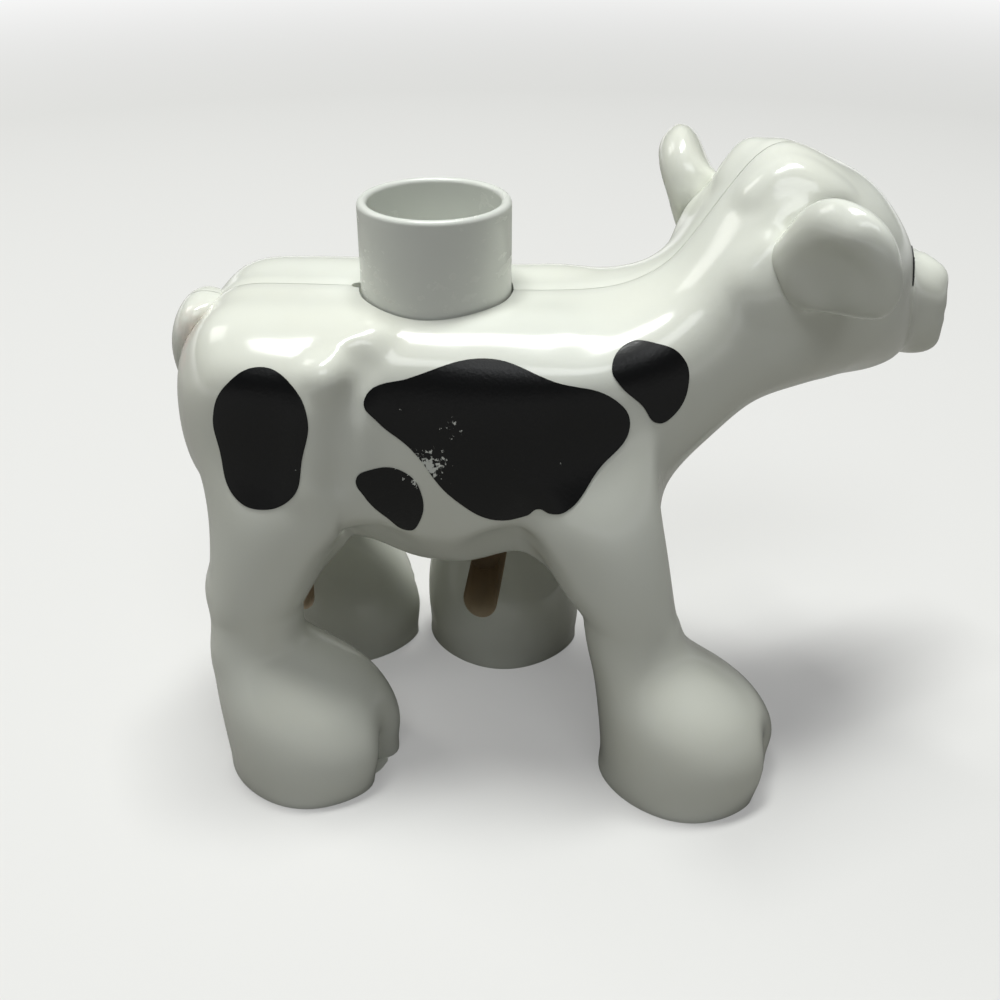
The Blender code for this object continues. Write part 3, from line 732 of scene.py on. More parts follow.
def add_leg(bm, edge, shares):
    side = shares[0]
    previous = edge
    for height, start, end, part_way, foot_share in LEG_RING_SHARES:
        half_length = (SHANK_LENGTH + (FOOT_LENGTH - SHANK_LENGTH) * foot_share) / 2
        half_width = (SHANK_WIDTH + (FOOT_WIDTH - SHANK_WIDTH) * foot_share) / 2
        x = leg_centre(shares, start, end, part_way)
        climb = CLIMB_SHARE * max(height - CLIMB_START_SHARE, 0.0)
        ring = []
        for n, root in enumerate(edge):
            angle = FIRST_CORNER + 2 * math.pi * n / len(edge)
            out = -math.sin(angle) * half_width
            z = height * BELLY_HEIGHT + climb * out
            place = Vector((x + half_length * math.cos(angle), side * (STANCE / 2 + out), z))
            if previous is edge:
                place = root.co.lerp(place, ROOT_SHARE)
            ring.append(bm.verts.new(place))
        bridge(bm, previous, ring)
        previous = ring
    grid_cap(bm, previous, 0, Vector((0, 0, 0)))


print("legs:", ", ".join(LEG_SHARES))

# %% [markdown]
# The ears are thick paddles that stand out and up, with the lower edge leaned forward. They are
# rings too, grown out of a smaller hole behind the brow, and carried round with the head.

# %% Ears
EAR_RING_SHARES = (
    (0.57, 0.35, 0.56, 1.10),
    (0.72, 0.42, 0.98, 1.02),
    (0.87, 0.58, 0.92, 0.88),
    (0.965, 0.69, 0.62, 0.64),
)
EAR_PLACE_SHARE = 0.378
EAR_LEAN = math.radians(25)
EAR_RAISE = math.radians(42)
EAR_TOP_POINT, EAR_LOW_POINT = 2, 4
EAR_STEPS = EAR_LOW_POINT - EAR_TOP_POINT
EAR_FIRST_RING = len(TORSO_SHARES) + 3
EAR_X = WITHERS_X + EAR_PLACE_SHARE * HEAD_REACH


def ear_axes(side):
    """Out along the ear, across its breadth, and through its thickness."""
    out = Vector((0, side * math.cos(EAR_RAISE), math.sin(EAR_RAISE)))
    down = Vector((0, side * math.sin(EAR_RAISE), -math.cos(EAR_RAISE)))
    broad = Vector((1, 0, 0)) * math.sin(EAR_LEAN) + down * math.cos(EAR_LEAN)
    return out, broad, out.cross(broad)


def ear_middle(reach, rise, side):
    return Vector((EAR_X, side * reach * EAR_REACH, BACK_HEIGHT + rise * HEAD_RISE))


def add_ear(bm, edge, side):
    out, broad, thick = ear_axes(side)
    previous = edge
    for reach, rise, width_share, thick_share in EAR_RING_SHARES:
        centre = ear_middle(reach, rise, side)
        ring = []
        for n, root in enumerate(edge):
            angle = (FIRST_CORNER + 2 * math.pi * n / len(edge)) * side
            in_breadth = broad * EAR_WIDTH / 2 * width_share * math.sin(angle) * side
            in_thickness = -thick * EAR_THICKNESS / 2 * thick_share * math.cos(angle) * side
            place = turned(centre + in_breadth + in_thickness, EAR_X)
            if previous is edge:
                place = root.co.lerp(place, ROOT_SHARE)
            ring.append(bm.verts.new(place))
        bridge(bm, previous, ring)
        previous = ring
    tip = turned(centre + out * EAR_THICKNESS / 3, EAR_X)
    grid_cap(bm, previous, 0, tip - turned(centre, EAR_X))


print("ear root at", round(EAR_X / MM, 1), "mm along the straight calf")

# %% [markdown]
# A Subdivision Surface pulls inside its cage, so a cage drawn at the right size comes out too thin.
# The rule for where it ends up is known, so a few rounds of correction put the finished surface
# back on the drawn points.


# %% Fitting the cage
def fit_cage(bm, rounds=4):
    bmesh.ops.delete(bm, geom=[v for v in bm.verts if not v.link_faces], context="VERTS")
    verts = list(bm.verts)
    bm.verts.index_update()
    drawn = np.array([v.co[:] for v in verts])
    links = []
    for v in verts:
        edges = [e.other_vert(v).index for e in v.link_edges]
        corners = [w.index for f in v.link_faces for w in f.verts if w is not v and w.index not in edges]
        links.append((len(edges), edges, corners))
    cage = drawn.copy()
    for _ in range(rounds):
        surface = [
            (n * n * cage[i] + 4 * cage[edges].sum(0) + cage[corners].sum(0)) / (n * (n + 5))
            for i, (n, edges, corners) in enumerate(links)
        ]
        cage += drawn - np.array(surface)
    for v, place in zip(verts, cage):
        v.co = place


def skin_cage():
    bm = bmesh.new()
    rings = [[bm.verts.new(turned(p)) for p in ring_points(*ring)] for ring in body_rings()]
    skip = {n: set() for n in range(len(rings))}
    limbs = [(shares[0], shares[1], LEG_TOP_POINT, LEG_LOW_POINT) for shares in LEG_SHARES.values()]
    limbs += [(side, EAR_FIRST_RING, EAR_TOP_POINT, EAR_LOW_POINT) for side in (-1, 1)]
    for side, first, top, low in limbs:
        for step in range(low - top):
            skip[first + step] |= {p if side < 0 else RING_POINTS - 1 - p for p in range(top, low)}
    for n in range(len(rings) - 1):
        bridge(bm, rings[n], rings[n + 1], skip[n])
    grid_cap(bm, rings[0], RING_POINTS // 8, Vector((-RUMP_BULGE_SHARE * TORSO_LENGTH, 0, 0)))
    facing = Vector((math.cos(HEAD_TURN), math.sin(HEAD_TURN), 0))
    grid_cap(bm, rings[-1], RING_POINTS // 8, facing * MUZZLE_BULGE_SHARE * HEAD_REACH)
    for shares in LEG_SHARES.values():
        edge = hole_edge(rings, shares[1], LEG_STEPS, LEG_TOP_POINT, LEG_LOW_POINT, shares[0])
        add_leg(bm, edge, shares)
    for side in (-1, 1):
        edge = hole_edge(rings, EAR_FIRST_RING, EAR_STEPS, EAR_TOP_POINT, EAR_LOW_POINT, side)
        add_ear(bm, edge, side)
    fit_cage(bm)
    return bm


# %% [markdown]
# ## From cage to solid
# These helpers turn a cage into a mesh object, take what its modifiers make as a plain mesh, and
# cut one solid with another. Every tool is thrown away once it has cut.


# %% Helpers for solids
def face_outwards(bm):
    bmesh.ops.recalc_face_normals(bm, faces=bm.faces)
    if bm.calc_volume(signed=True) < 0:
        bmesh.ops.reverse_faces(bm, faces=bm.faces)


def as_object(name, bm):
    face_outwards(bm)
    return mesh_object(name, bm)


def settle(obj):
    """Keeps what the object's modifiers make as its own plain mesh."""
    bpy.context.view_layer.update()
    graph = bpy.context.evaluated_depsgraph_get()
    mesh = bpy.data.meshes.new_from_object(obj.evaluated_get(graph))
    obj.modifiers.clear()
    obj.data = mesh
    return obj


def smoothed(name, bm, levels):
    obj = as_object(name, bm)
    smooth = obj.modifiers.new("smooth", "SUBSURF")
    smooth.levels = smooth.render_levels = levels
    return settle(obj)


def cut(obj, tools, operation="DIFFERENCE"):
    for tool in tools:
        step = obj.modifiers.new(tool.name, "BOOLEAN")
        step.solver = "MANIFOLD"
        step.operation = operation
        step.object = tool
    return settle(obj)


def discard(*tools):
    for tool in tools:
        bpy.data.objects.remove(tool, do_unlink=True)


def copy_of(obj, name):
    return add_object(name, obj.data.copy())


skin = smoothed("calf_skin", skin_cage(), FINE)
print("smooth skin:", len(skin.data.polygons), "faces")

# %% [markdown]
# ## Fine modelling
# What the cage is too coarse for is pressed into the smooth skin, as a thumb or a modelling tool
# would: a groove or a ridge follows a short path, and its depth fades out with distance from it.
# The same tool makes the fold in front of the thigh, the hip bone, the clefts of the toes, the line
# of the mouth and the hollows of the ears.


# %% The modelling tool
def distance_to(points, path):
    """How far each point is from a path of straight stretches, or from a single place."""
    if len(path) == 1:
        return np.linalg.norm(points - path[0], axis=1)
    nearest = np.full(len(points), np.inf)
    for start, end in zip(path, path[1:]):
        along = end - start
        share = np.clip((points - start) @ along / (along @ along), 0, 1)
        nearest = np.minimum(nearest, np.linalg.norm(points - start - share[:, None] * along, axis=1))
    return nearest


def fade_out(distances, reach):
    """One on the spot and nought from the reach on, with soft shoulders."""
    return np.clip(1 - (distances / reach) ** 2, 0, 1) ** 2


def press(points, normals, path, reach, depth):
    """Moves the points near a path inwards by a depth, or outwards where the depth is less than nought.

    One direction in the place of the normals moves them all against that direction.
    """
    fade = fade_out(distance_to(points, np.array(path)), reach)
    points -= normals * (fade * depth)[:, None]


def press_rows(points, normals, rows, drawn, side):
    """Presses row by row: a path, the reach and depth in millimetres and, if need be, a direction."""
    for path, reach, depth, *direction in rows:
        facing = direction[0] if direction else normals
        press(points, facing, drawn(path, side), reach * MM, depth * MM)


def rub_soft(points, edges, path, reach, rounds):
    """Softens a crease: near a path, each point drifts towards the middle of its neighbours."""
    fade = fade_out(distance_to(points, np.array(path)), reach)
    near = fade[edges].max(axis=1) > 0
    first, second = edges[near].T
    neighbours = np.zeros(len(points))
    for here in (first, second):
        np.add.at(neighbours, here, 1)
    for _ in range(rounds):
        total = np.zeros_like(points)
        for here, there in ((first, second), (second, first)):
            np.add.at(total, here, points[there])
        drift = total / np.maximum(neighbours, 1)[:, None] - points
        points += drift * (fade / 2)[:, None]


def read_edges(obj):
    edges = np.empty(len(obj.data.edges) * 2, dtype=np.int32)
    obj.data.edges.foreach_get("vertices", edges)
    return edges.reshape(-1, 2)


def read_vectors(items, name):
    values = np.empty(len(items) * 3)
    items.foreach_get(name, values)
    return values.reshape(-1, 3)


def read_skin(obj):
    return read_vectors(obj.data.vertices, "co"), read_vectors(obj.data.vertices, "normal")


def write_skin(obj, points):
    obj.data.vertices.foreach_set("co", points.ravel())
    obj.data.update()


# %% [markdown]
# The back is nearly flat and turns into the flank at a soft edge. The thigh stands a little proud
# of the belly, with the hip bone as a small bright knob at the top of the fold. Seen from the side
# the belly hangs like a shallow bowl between the legs, so its edge is drawn up at the groin and at
# the elbow. The hock, high on the back of the hind leg, has a soft point, and the leg narrows below
# it.

# %% Hips, folds and hocks
FOLD = ((-3.9, 7.9, 30.1), (-4.3, 8.9, 28.9), (-4.9, 9.4, 26.6), (-5.2, 9.7, 23.2))
GROIN = ((-5.2, 9.7, 23.0), (-4.9, 9.3, 20.0))
THIGH_EDGE = ((-5.8, 8.8, 29.4), (-6.4, 9.5, 27.0), (-6.9, 9.8, 23.0))
HIP_BONE = ((-3.3, 6.2, 31.1), (-4.5, 7.6, 30.5), (-5.5, 8.6, 29.7))
ELBOW = ((6.4, 9.3, 21.0), (5.6, 9.0, 18.4))
BACK_EDGE = ((-13.0, 5.2, 31.2), (0.0, 5.2, 31.4), (7.0, 5.0, 31.6))
GROIN_ARCH = ((-5.8, 7.3, 16.6), (-4.2, 7.3, 17.0))
ELBOW_ARCH = ((4.9, 7.3, 17.0), (6.3, 7.5, 17.0))
BELLY_EDGE = ((-1.5, 7.0, 16.6), (2.8, 7.2, 16.6))
UP = np.array((0, 0, 1))
FLANK_PRESSES = (
    (FOLD, 1.6, 0.42),
    (GROIN, 2.4, 0.16),
    (THIGH_EDGE, 2.2, -0.32),
    (HIP_BONE, 1.9, -0.45),
    (BACK_EDGE, 3.6, -0.30),
    (GROIN_ARCH, 4.2, -1.5, UP),
    (BELLY_EDGE, 3.0, -0.40, UP),
)
ELBOW_PRESSES = ((ELBOW_ARCH, 4.0, -1.5, UP), (ELBOW, 2.2, 0.25))
HOCK_PRESSES = ((14.8, 2.2, -0.30), (11.0, 2.9, 0.42))


def on_side(path, side):
    return [(x * MM, side * y * MM, z * MM) for x, y, z in path]


def model_flanks(points, normals):
    for side in (-1, 1):
        press_rows(points, normals, FLANK_PRESSES, on_side, side)
    press_rows(points, normals, ELBOW_PRESSES, on_side, -1)
    for leg in ("right_hind", "left_hind"):
        side = LEG_SHARES[leg][0]
        back = leg_centre(LEG_SHARES[leg], "knee", "ankle", 1) - SHANK_LENGTH / 2
        for height, reach, depth in HOCK_PRESSES:
            press(points, normals, [(back, side * STANCE / 2, height * MM)], reach * MM, depth * MM)


# %% [markdown]
# Each foot is split at the front into two toes. The cleft is deepest at the ground and runs out on
# top of the foot. Its depth is the product of three fades: across the cleft, up the foot, and round
# to the foot's sides.

# %% Toes
CLEFT_DEPTH = 1.9 * MM
CLEFT_HALF_WIDTH = 1.25 * MM
CLEFT_OUT = 1.5 * MM
CLEFT_TOP = 6.6 * MM
NEAR_SHARE = 0.6


def model_toes(points, normals):
    for shares in LEG_SHARES.values():
        middle = leg_centre(shares, "ankle", "foot", 1)
        across = points[:, 1] - shares[0] * (STANCE / 2 + CLEFT_OUT)
        near = np.abs(points[:, 0] - middle) < FOOT_LENGTH * NEAR_SHARE
        near &= np.abs(across) < FOOT_WIDTH * NEAR_SHARE
        up = fade_out(points[:, 2], CLEFT_TOP)
        front = np.clip(normals[:, 0], 0, 1)
        fade = near * up * front * np.exp(-((across / CLEFT_HALF_WIDTH) ** 2))
        points -= normals * (fade * CLEFT_DEPTH)[:, None]


# %% [markdown]
# The nose and the chin are two soft bumps on the square end of the muzzle, with the line of the
# mouth between them and two nostrils above it. A soft ridge bounds the crown above each ear, the
# brow dips in front of it, the jowls draw in towards the muzzle, the ears swell at their roots and
# reach back a little at the heel, and both faces of the ears are slightly hollow. Where the ear
# leaves the neck the presses meet in a crease, which is rubbed soft.

# %% Face and ears
MOUTH = (
    (0.915, -2.9, -0.46), (0.955, -1.6, -0.52), (0.965, 0.0, -0.50), (0.955, 1.6, -0.52),
    (0.915, 2.9, -0.46),
)
NOSE = ((0.935, -1.9, -0.06), (0.935, 1.9, -0.06))
CHIN = ((0.93, -1.8, -0.80), (0.93, 1.8, -0.80))
NOSTRIL = ((0.955, 1.6, -0.22),)
CROWN_EDGE = (
    (0.300, 2.07, 0.739), (0.331, 2.26, 0.815), (0.368, 2.57, 0.870), (0.394, 3.26, 0.859),
    (0.414, 4.06, 0.815), (0.438, 4.75, 0.739),
)
BROW = ((0.490, -4.0, 0.80), (0.505, 0.0, 0.95), (0.490, 4.0, 0.80))
JOWL = ((0.715, 5.6, -0.15), (0.700, 5.2, -0.45), (0.665, 4.2, -0.78))
EAR_ROOT = ((0.303, 5.5, 0.33), (0.323, 6.0, 0.24))
EAR_HEEL = ((0.205, 7.0, 0.66), (0.240, 6.1, 0.44), (0.295, 6.6, 0.22))
BACKWARD = np.array((-math.cos(HEAD_TURN), -math.sin(HEAD_TURN), -0.3))
EAR_CREASE = ((0.294, 5.9, 0.43), (0.308, 6.6, 0.28), (0.325, 6.7, 0.15), (0.355, 6.5, 0.07))
EAR_HOLLOW = ((0.71, 0.41, 0.15), (0.86, 0.56, 0.15))
EAR_RIM = ((0.62, 0.37, -0.70), (0.74, 0.44, -0.74), (0.87, 0.58, -0.66), (0.95, 0.67, -0.30))
MIDDLE_PRESSES = ((NOSE, 1.7, -0.20), (CHIN, 1.9, -0.25), (MOUTH, 0.75, 0.20), (BROW, 3.4, 0.16))
SIDE_PRESSES = (
    (NOSTRIL, 0.85, 0.32),
    (CROWN_EDGE, 1.7, -0.30),
    (JOWL, 3.8, 0.36),
    (EAR_ROOT, 2.8, -0.40),
    (EAR_HEEL, 3.9, -0.55, BACKWARD),
)
EAR_PRESSES = ((EAR_HOLLOW, 1, 2.8, 0.45), (EAR_HOLLOW, -1, 2.3, 0.34), (EAR_RIM, -1, 1.7, -0.30))
CREASE_REACH = 1.8 * MM
CREASE_ROUNDS = 16


def on_head(along_share, left, rise_share):
    """A share of the head's reach, millimetres to its left, and a share of its rise or drop."""
    rise = rise_share * (HEAD_RISE if rise_share > 0 else HEAD_DROP)
    return turned((WITHERS_X + along_share * HEAD_REACH, left * MM, BACK_HEIGHT + rise))[:]


def head_path(path, side):
    return [on_head(along, side * left, rise) for along, left, rise in path]


def on_ear(path, side, facing):
    """Places on the front of an ear, or on its back where facing is -1, from reach, rise and breadth."""
    out, broad, thick = ear_axes(side)
    lift = thick * facing * side * -0.5 * EAR_THICKNESS
    places = []
    for reach, rise, across in path:
        place = ear_middle(reach, rise, side) + broad * across * EAR_WIDTH / 2 + lift
        places.append(turned(place, EAR_X)[:])
    return places


def model_face(points, normals, edges):
    press_rows(points, normals, MIDDLE_PRESSES, head_path, 1)
    for side in (-1, 1):
        press_rows(points, normals, SIDE_PRESSES, head_path, side)
        for path, facing, reach, depth in EAR_PRESSES:
            press(points, normals, on_ear(path, side, facing), reach * MM, depth * MM)
        rub_soft(points, edges, head_path(EAR_CREASE, side), CREASE_REACH, CREASE_ROUNDS)


# %% [markdown]
# Where the two halves meet, the mould leaves a shallow dip along the parting line. It is found by
# measuring how far each point of the skin is from the bent middle surface.

# %% The dip along the seam
SEAM_REACH = 0.42 * MM
SEAM_DIP = 0.07 * MM


def off_middle(points):
    """How far each point is to the left of the parting surface: straight, then an arc, then straight."""
    from_centre = points[:, :2] - np.array((TURN_START, TURN_RADIUS))
    heading = np.arctan2(from_centre[:, 0], -from_centre[:, 1])
    in_bend = TURN_RADIUS - np.linalg.norm(from_centre, axis=1)
    end, _ = neck_frame(TURN_START + TURN_LENGTH)
    past = (points[:, :2] - np.array(end)) @ np.array((-math.sin(HEAD_TURN), math.cos(HEAD_TURN)))
    return np.where(heading <= 0, points[:, 1], np.where(heading >= HEAD_TURN, past, in_bend))


def model_skin():
    points, normals = read_skin(skin)
    model_flanks(points, normals)
    model_toes(points, normals)
    model_face(points, normals, read_edges(skin))
    write_skin(skin, points)
    points, normals = read_skin(skin)
    points -= normals * (fade_out(off_middle(points), SEAM_REACH) * SEAM_DIP)[:, None]
    write_skin(skin, points)
    return len(points)


print("modelled over", model_skin(), "points")

# %% [markdown]
# ## The tail
# The tail is moulded lying on the rump, so it is a separate little form that is sunk into the skin
# and joined to it.

# %% Tail
TAIL_RING_SHARES = (
    (-0.60, 0.16, 0.55, 0.55),
    (0.28, 0.18, 0.95, 0.90),
    (0.92, 0.42, 1.00, 1.00),
    (1.00, 0.70, 0.72, 0.86),
    (1.02, 0.94, 0.34, 0.55),
)
TAIL_RING_POINTS = 8
TAIL_THICK_SHARE = 0.85


def tail_cage():
    bm = bmesh.new()
    rump_x = torso_x(TORSO_SHARES[0][0])
    left = Vector((0, 1, 0))
    centres = [
        Vector((rump_x - back * TAIL_STAND, 0, BACK_HEIGHT - down * TAIL_LENGTH))
        for back, down, _, _ in TAIL_RING_SHARES
    ]
    previous = None
    for n, (_, _, width, thickness) in enumerate(TAIL_RING_SHARES):
        ahead = centres[min(n + 1, len(centres) - 1)] - centres[max(n - 1, 0)]
        outward = left.cross(ahead).normalized()
        ring = []
        for k in range(TAIL_RING_POINTS):
            angle = 2 * math.pi * (k + 0.5) / TAIL_RING_POINTS
            wide = left * math.cos(angle) * width * TAIL_WIDTH / 2
            thick = outward * math.sin(angle) * thickness * TAIL_STAND * TAIL_THICK_SHARE
            ring.append(bm.verts.new(centres[n] + wide + thick))
        if previous:
            bridge(bm, previous, ring)
        else:
            grid_cap(bm, ring, 0, -ahead.normalized() * TAIL_STAND / 4)
        previous = ring
    grid_cap(bm, previous, 0, ahead.normalized() * TAIL_STAND / 4)
    fit_cage(bm)
    return bm


tail = smoothed("tail", tail_cage(), FINE)
print("tail:", len(tail.data.polygons), "faces")

# %% [markdown]
# ## Turned shapes by Geometry Nodes
# The stud is round, so it is a profile turned about an axis, as on a lathe. The tree below takes
# the profile as a row of points, repeats it at equal steps round a grid, and bends the grid into a
# ring with sines and cosines. Its inputs are the number of steps and the material, so the same
# lathe also turns the tool that makes room for it.


# %% The lathe
def geometry_tree(name, inputs):
    tree = bpy.data.node_groups.new(name, "GeometryNodeTree")
    tree.interface.new_socket("Geometry", in_out="INPUT", socket_type="NodeSocketGeometry")
    tree.interface.new_socket("Geometry", in_out="OUTPUT", socket_type="NodeSocketGeometry")
    for socket, kind in inputs.items():
        tree.interface.new_socket(socket, in_out="INPUT", socket_type=kind)
    return tree, tree.nodes.new("NodeGroupInput"), tree.nodes.new("NodeGroupOutput")


def end_tree(tree, leave, geometry, plastic):
    """Ends a tree in plain geometry with its material."""
    real = add_node(tree, "GeometryNodeRealizeInstances", {0: geometry})
    done = add_node(tree, "GeometryNodeSetMaterial", {"Geometry": real.outputs[0], "Material": plastic})
    tree.links.new(done.outputs[0], leave.inputs[0])
    return tree


def make_lathe():
    inputs = {"Steps": "NodeSocketInt", "Plastic": "NodeSocketMaterial"}
    tree, entry, leave = geometry_tree("lathe", inputs)
    profile, steps = entry.outputs["Geometry"], entry.outputs["Steps"]
    size = add_node(tree, "GeometryNodeAttributeDomainSize", {"Geometry": profile})
    row = math_node(tree, "ADD", steps, 1.0)
    counts = {"Vertices X": size.outputs["Point Count"], "Vertices Y": row}
    grid = add_node(tree, "GeometryNodeMeshGrid", counts)
    index = add_node(tree, "GeometryNodeInputIndex").outputs[0]
    which = math_node(tree, "FLOOR", math_node(tree, "DIVIDE", math_node(tree, "ADD", index, 0.5), row))
    step = math_node(tree, "SUBTRACT", index, product(tree, which, row))
    angle = product(tree, math_node(tree, "DIVIDE", step, steps), 2 * math.pi)
    position = add_node(tree, "GeometryNodeInputPosition").outputs[0]
    inputs = {"Geometry": profile, "Value": position, "Index": which}
    drawn = add_node(tree, "GeometryNodeSampleIndex", inputs, data_type="FLOAT_VECTOR")
    parts = add_node(tree, "ShaderNodeSeparateXYZ", {0: drawn.outputs["Value"]})
    x = product(tree, parts.outputs["X"], math_node(tree, "COSINE", angle))
    y = product(tree, parts.outputs["X"], math_node(tree, "SINE", angle))
    place = add_node(tree, "ShaderNodeCombineXYZ", {"X": x, "Y": y, "Z": parts.outputs["Z"]})
    inputs = {"Geometry": grid.outputs["Mesh"], "Position": place.outputs[0]}
    bent = add_node(tree, "GeometryNodeSetPosition", inputs)
    inputs = {"Geometry": bent.outputs[0], "Distance": 0.001 * MM}
    closed = add_node(tree, "GeometryNodeMergeByDistance", inputs)
    return end_tree(tree, leave, closed.outputs[0], entry.outputs["Plastic"])


def with_nodes(obj, tree, **inputs):
    """Runs a geometry tree on an object, its inputs set by identifier, and keeps the plain mesh."""
    modifier = obj.modifiers.new(tree.name, "NODES")
    modifier.node_group = tree
    for item in tree.interface.items_tree:
        if item.in_out == "INPUT" and item.name in inputs:
            modifier[item.identifier] = inputs[item.name]
    return settle(obj)


lathe = make_lathe()
print("lathe:", len(lathe.nodes), "nodes")


# %% Turning a profile
def turn_profile(name, profile, steps, plastic=None):
    bm = bmesh.new()
    points = [bm.verts.new((radius, 0, height)) for radius, height in profile]
    for first, second in zip(points, points[1:]):
        bm.edges.new((first, second))
    obj = mesh_object(name, bm)
    with_nodes(obj, lathe, Steps=steps, Plastic=plastic)
    return tidy_faces(obj)


def tidy_faces(obj):
    """Merges doubles, drops faces with no area and points the rest outwards."""
    bm = bmesh.new()
    bm.from_mesh(obj.data)
    bmesh.ops.remove_doubles(bm, verts=bm.verts, dist=0.001 * MM)
    bmesh.ops.dissolve_degenerate(bm, edges=bm.edges, dist=0.0005 * MM)
    face_outwards(bm)
    bm.to_mesh(obj.data)
    bm.free()
    return obj


def arc(centre, radius, start, end, steps=6):
    """Points of an arc about a centre, between two angles in degrees."""
    angles = [math.radians(start + (end - start) * n / steps) for n in range(steps + 1)]
    return [(centre[0] + radius * math.cos(a), centre[1] + radius * math.sin(a)) for a in angles]


# %% [markdown]
# ## The stud
# The stud is a tube with a floor, a rounded rim and, inside the calf, a flange. The moulder leaves
# a small round at the foot of the bore too. Its heights come from the CAD stud's box, so it stands
# exactly where the frame says.

# %% Turn the stud
FLANGE_RADIUS = (stud_high.x - stud_low.x) / 2
STUD_STEPS = 96
FLANGE_ROUND = 0.15 * MM


def stud_profile():
    rim, bottom = stud_high.z, stud_low.z
    bore, outer, top = STUD_BORE / 2, STUD_DIAMETER / 2, bottom + FLANGE_THICKNESS
    floor = bottom + STUD_FLOOR
    profile = [(0, floor)]
    profile += arc((bore - RIM_ROUND, floor + RIM_ROUND), RIM_ROUND, 270, 360)
    profile += arc((bore + RIM_ROUND, rim - RIM_ROUND), RIM_ROUND, 180, 90)
    profile += arc((outer - RIM_ROUND, rim - RIM_ROUND), RIM_ROUND, 90, 0)
    profile += arc((outer + FLANGE_ROUND, top + FLANGE_ROUND), FLANGE_ROUND, 180, 270)
    profile += arc((FLANGE_RADIUS - FLANGE_ROUND, top - FLANGE_ROUND), FLANGE_ROUND, 90, 0)
    profile += arc((FLANGE_RADIUS - FLANGE_ROUND, bottom + FLANGE_ROUND), FLANGE_ROUND, 0, -90)
    return profile + [(0, bottom)]


stud_tube = turn_profile("stud_tube", stud_profile(), STUD_STEPS, stud_plastic)
print("stud:", len(stud_tube.data.polygons), "faces, rim at", round(stud_high.z / MM, 2), "mm")

# %% [markdown]
# ## The inside of the halves
# The body is hollow, with a wall of 1.8 mm. Three round pins on the right half push into bosses on
# the left half and line the two up. A pin, a boss and a socket are all a bar straight across the
# parting surface, so one small tree puts a bar on each of three points, turned to the heading of
# the neck there.

# %% Bars across the parting
BODY_PIN_SHARES = ((0.14, 0.76), (0.84, 0.76))
HEAD_PIN_SHARES = (0.47, 0.16)
BAR_SIDES = 48


def make_bar_row():
    inputs = {socket: "NodeSocketFloat" for socket in ("Radius", "Start", "End")}
    tree, entry, leave = geometry_tree("bar_row", {**inputs, "Plastic": "NodeSocketMaterial"})
    start, end = entry.outputs["Start"], entry.outputs["End"]
    length = math_node(tree, "SUBTRACT", end, start)
    middle = product(tree, math_node(tree, "ADD", start, end), 0.5)
    inputs = {"Vertices": BAR_SIDES, "Radius": entry.outputs["Radius"], "Depth": length}
    bar = add_node(tree, "GeometryNodeMeshCylinder", inputs)
    offset = add_node(tree, "ShaderNodeCombineXYZ", {"Y": middle}).outputs[0]
    inputs = {"Geometry": bar.outputs["Mesh"], "Rotation": (math.radians(90), 0, 0), "Translation": offset}
    laid = add_node(tree, "GeometryNodeTransform", inputs).outputs[0]
    heading = add_node(tree, "GeometryNodeInputNamedAttribute", {"Name": "heading"}, data_type="FLOAT")
    turn = add_node(tree, "ShaderNodeCombineXYZ", {"Z": heading.outputs[0]}).outputs[0]
    inputs = {"Points": entry.outputs["Geometry"], "Instance": laid, "Rotation": turn}
    bars = add_node(tree, "GeometryNodeInstanceOnPoints", inputs)
    return end_tree(tree, leave, bars.outputs[0], entry.outputs["Plastic"])


bar_row = make_bar_row()
print("bar row:", len(bar_row.nodes), "nodes")


def bars(name, radius, start, end):
    places = [(torso_x(x), BACK_HEIGHT * z) for x, z in BODY_PIN_SHARES]
    along, rise = HEAD_PIN_SHARES
    places.append((WITHERS_X + along * HEAD_REACH, BACK_HEIGHT + rise * HEAD_RISE))
    mesh = bpy.data.meshes.new(name)
    mesh.from_pydata([turned((x, 0, z)) for x, z in places], [], [])
    headings = mesh.attributes.new("heading", "FLOAT", "POINT")
    headings.data.foreach_set("value", [neck_frame(x)[1] for x, _ in places])
    obj = add_object(name, mesh)
    with_nodes(obj, bar_row, Radius=radius, Start=start, End=end, Plastic=shell_plastic)
    return tidy_faces(obj)


# %% The hollow
SHELF_TOP = stud_low.z
BOSS_WALL = 1.2 * MM
NICK_RADIUS = 0.42 * MM
NICK_DEPTH = 1.1 * MM
NICK_STEPS = 24
HOLLOW_LEVELS = 2


def core_cage():
    bm = bmesh.new()
    previous = None
    for ring in body_rings()[1:-4]:
        points = ring_points(*ring, count=RING_POINTS // 2, inset=WALL)
        verts = [bm.verts.new(turned(point)) for point in points]
        if previous:
            bridge(bm, previous, verts)
        else:
            grid_cap(bm, verts, 1, Vector((0, 0, 0)))
        previous = verts
    grid_cap(bm, previous, 1, Vector((0, 0, 0)))
    fit_cage(bm)
    return bm


def make_hollow():
    hollow = smoothed("hollow", core_cage(), HOLLOW_LEVELS)
    bosses = bars("bosses", PIN_DIAMETER / 2 + BOSS_WALL, -TORSO_WIDTH, TORSO_WIDTH)
    radius, bottom = TORSO_WIDTH / 2, SHELF_TOP - WALL
    slab = [(0, SHELF_TOP), (radius, SHELF_TOP), (radius, bottom), (0, bottom)]
    shelf = turn_profile("flange_shelf", slab, STUD_STEPS)
    cut(hollow, [bosses, shelf])
    discard(bosses, shelf)
    return hollow


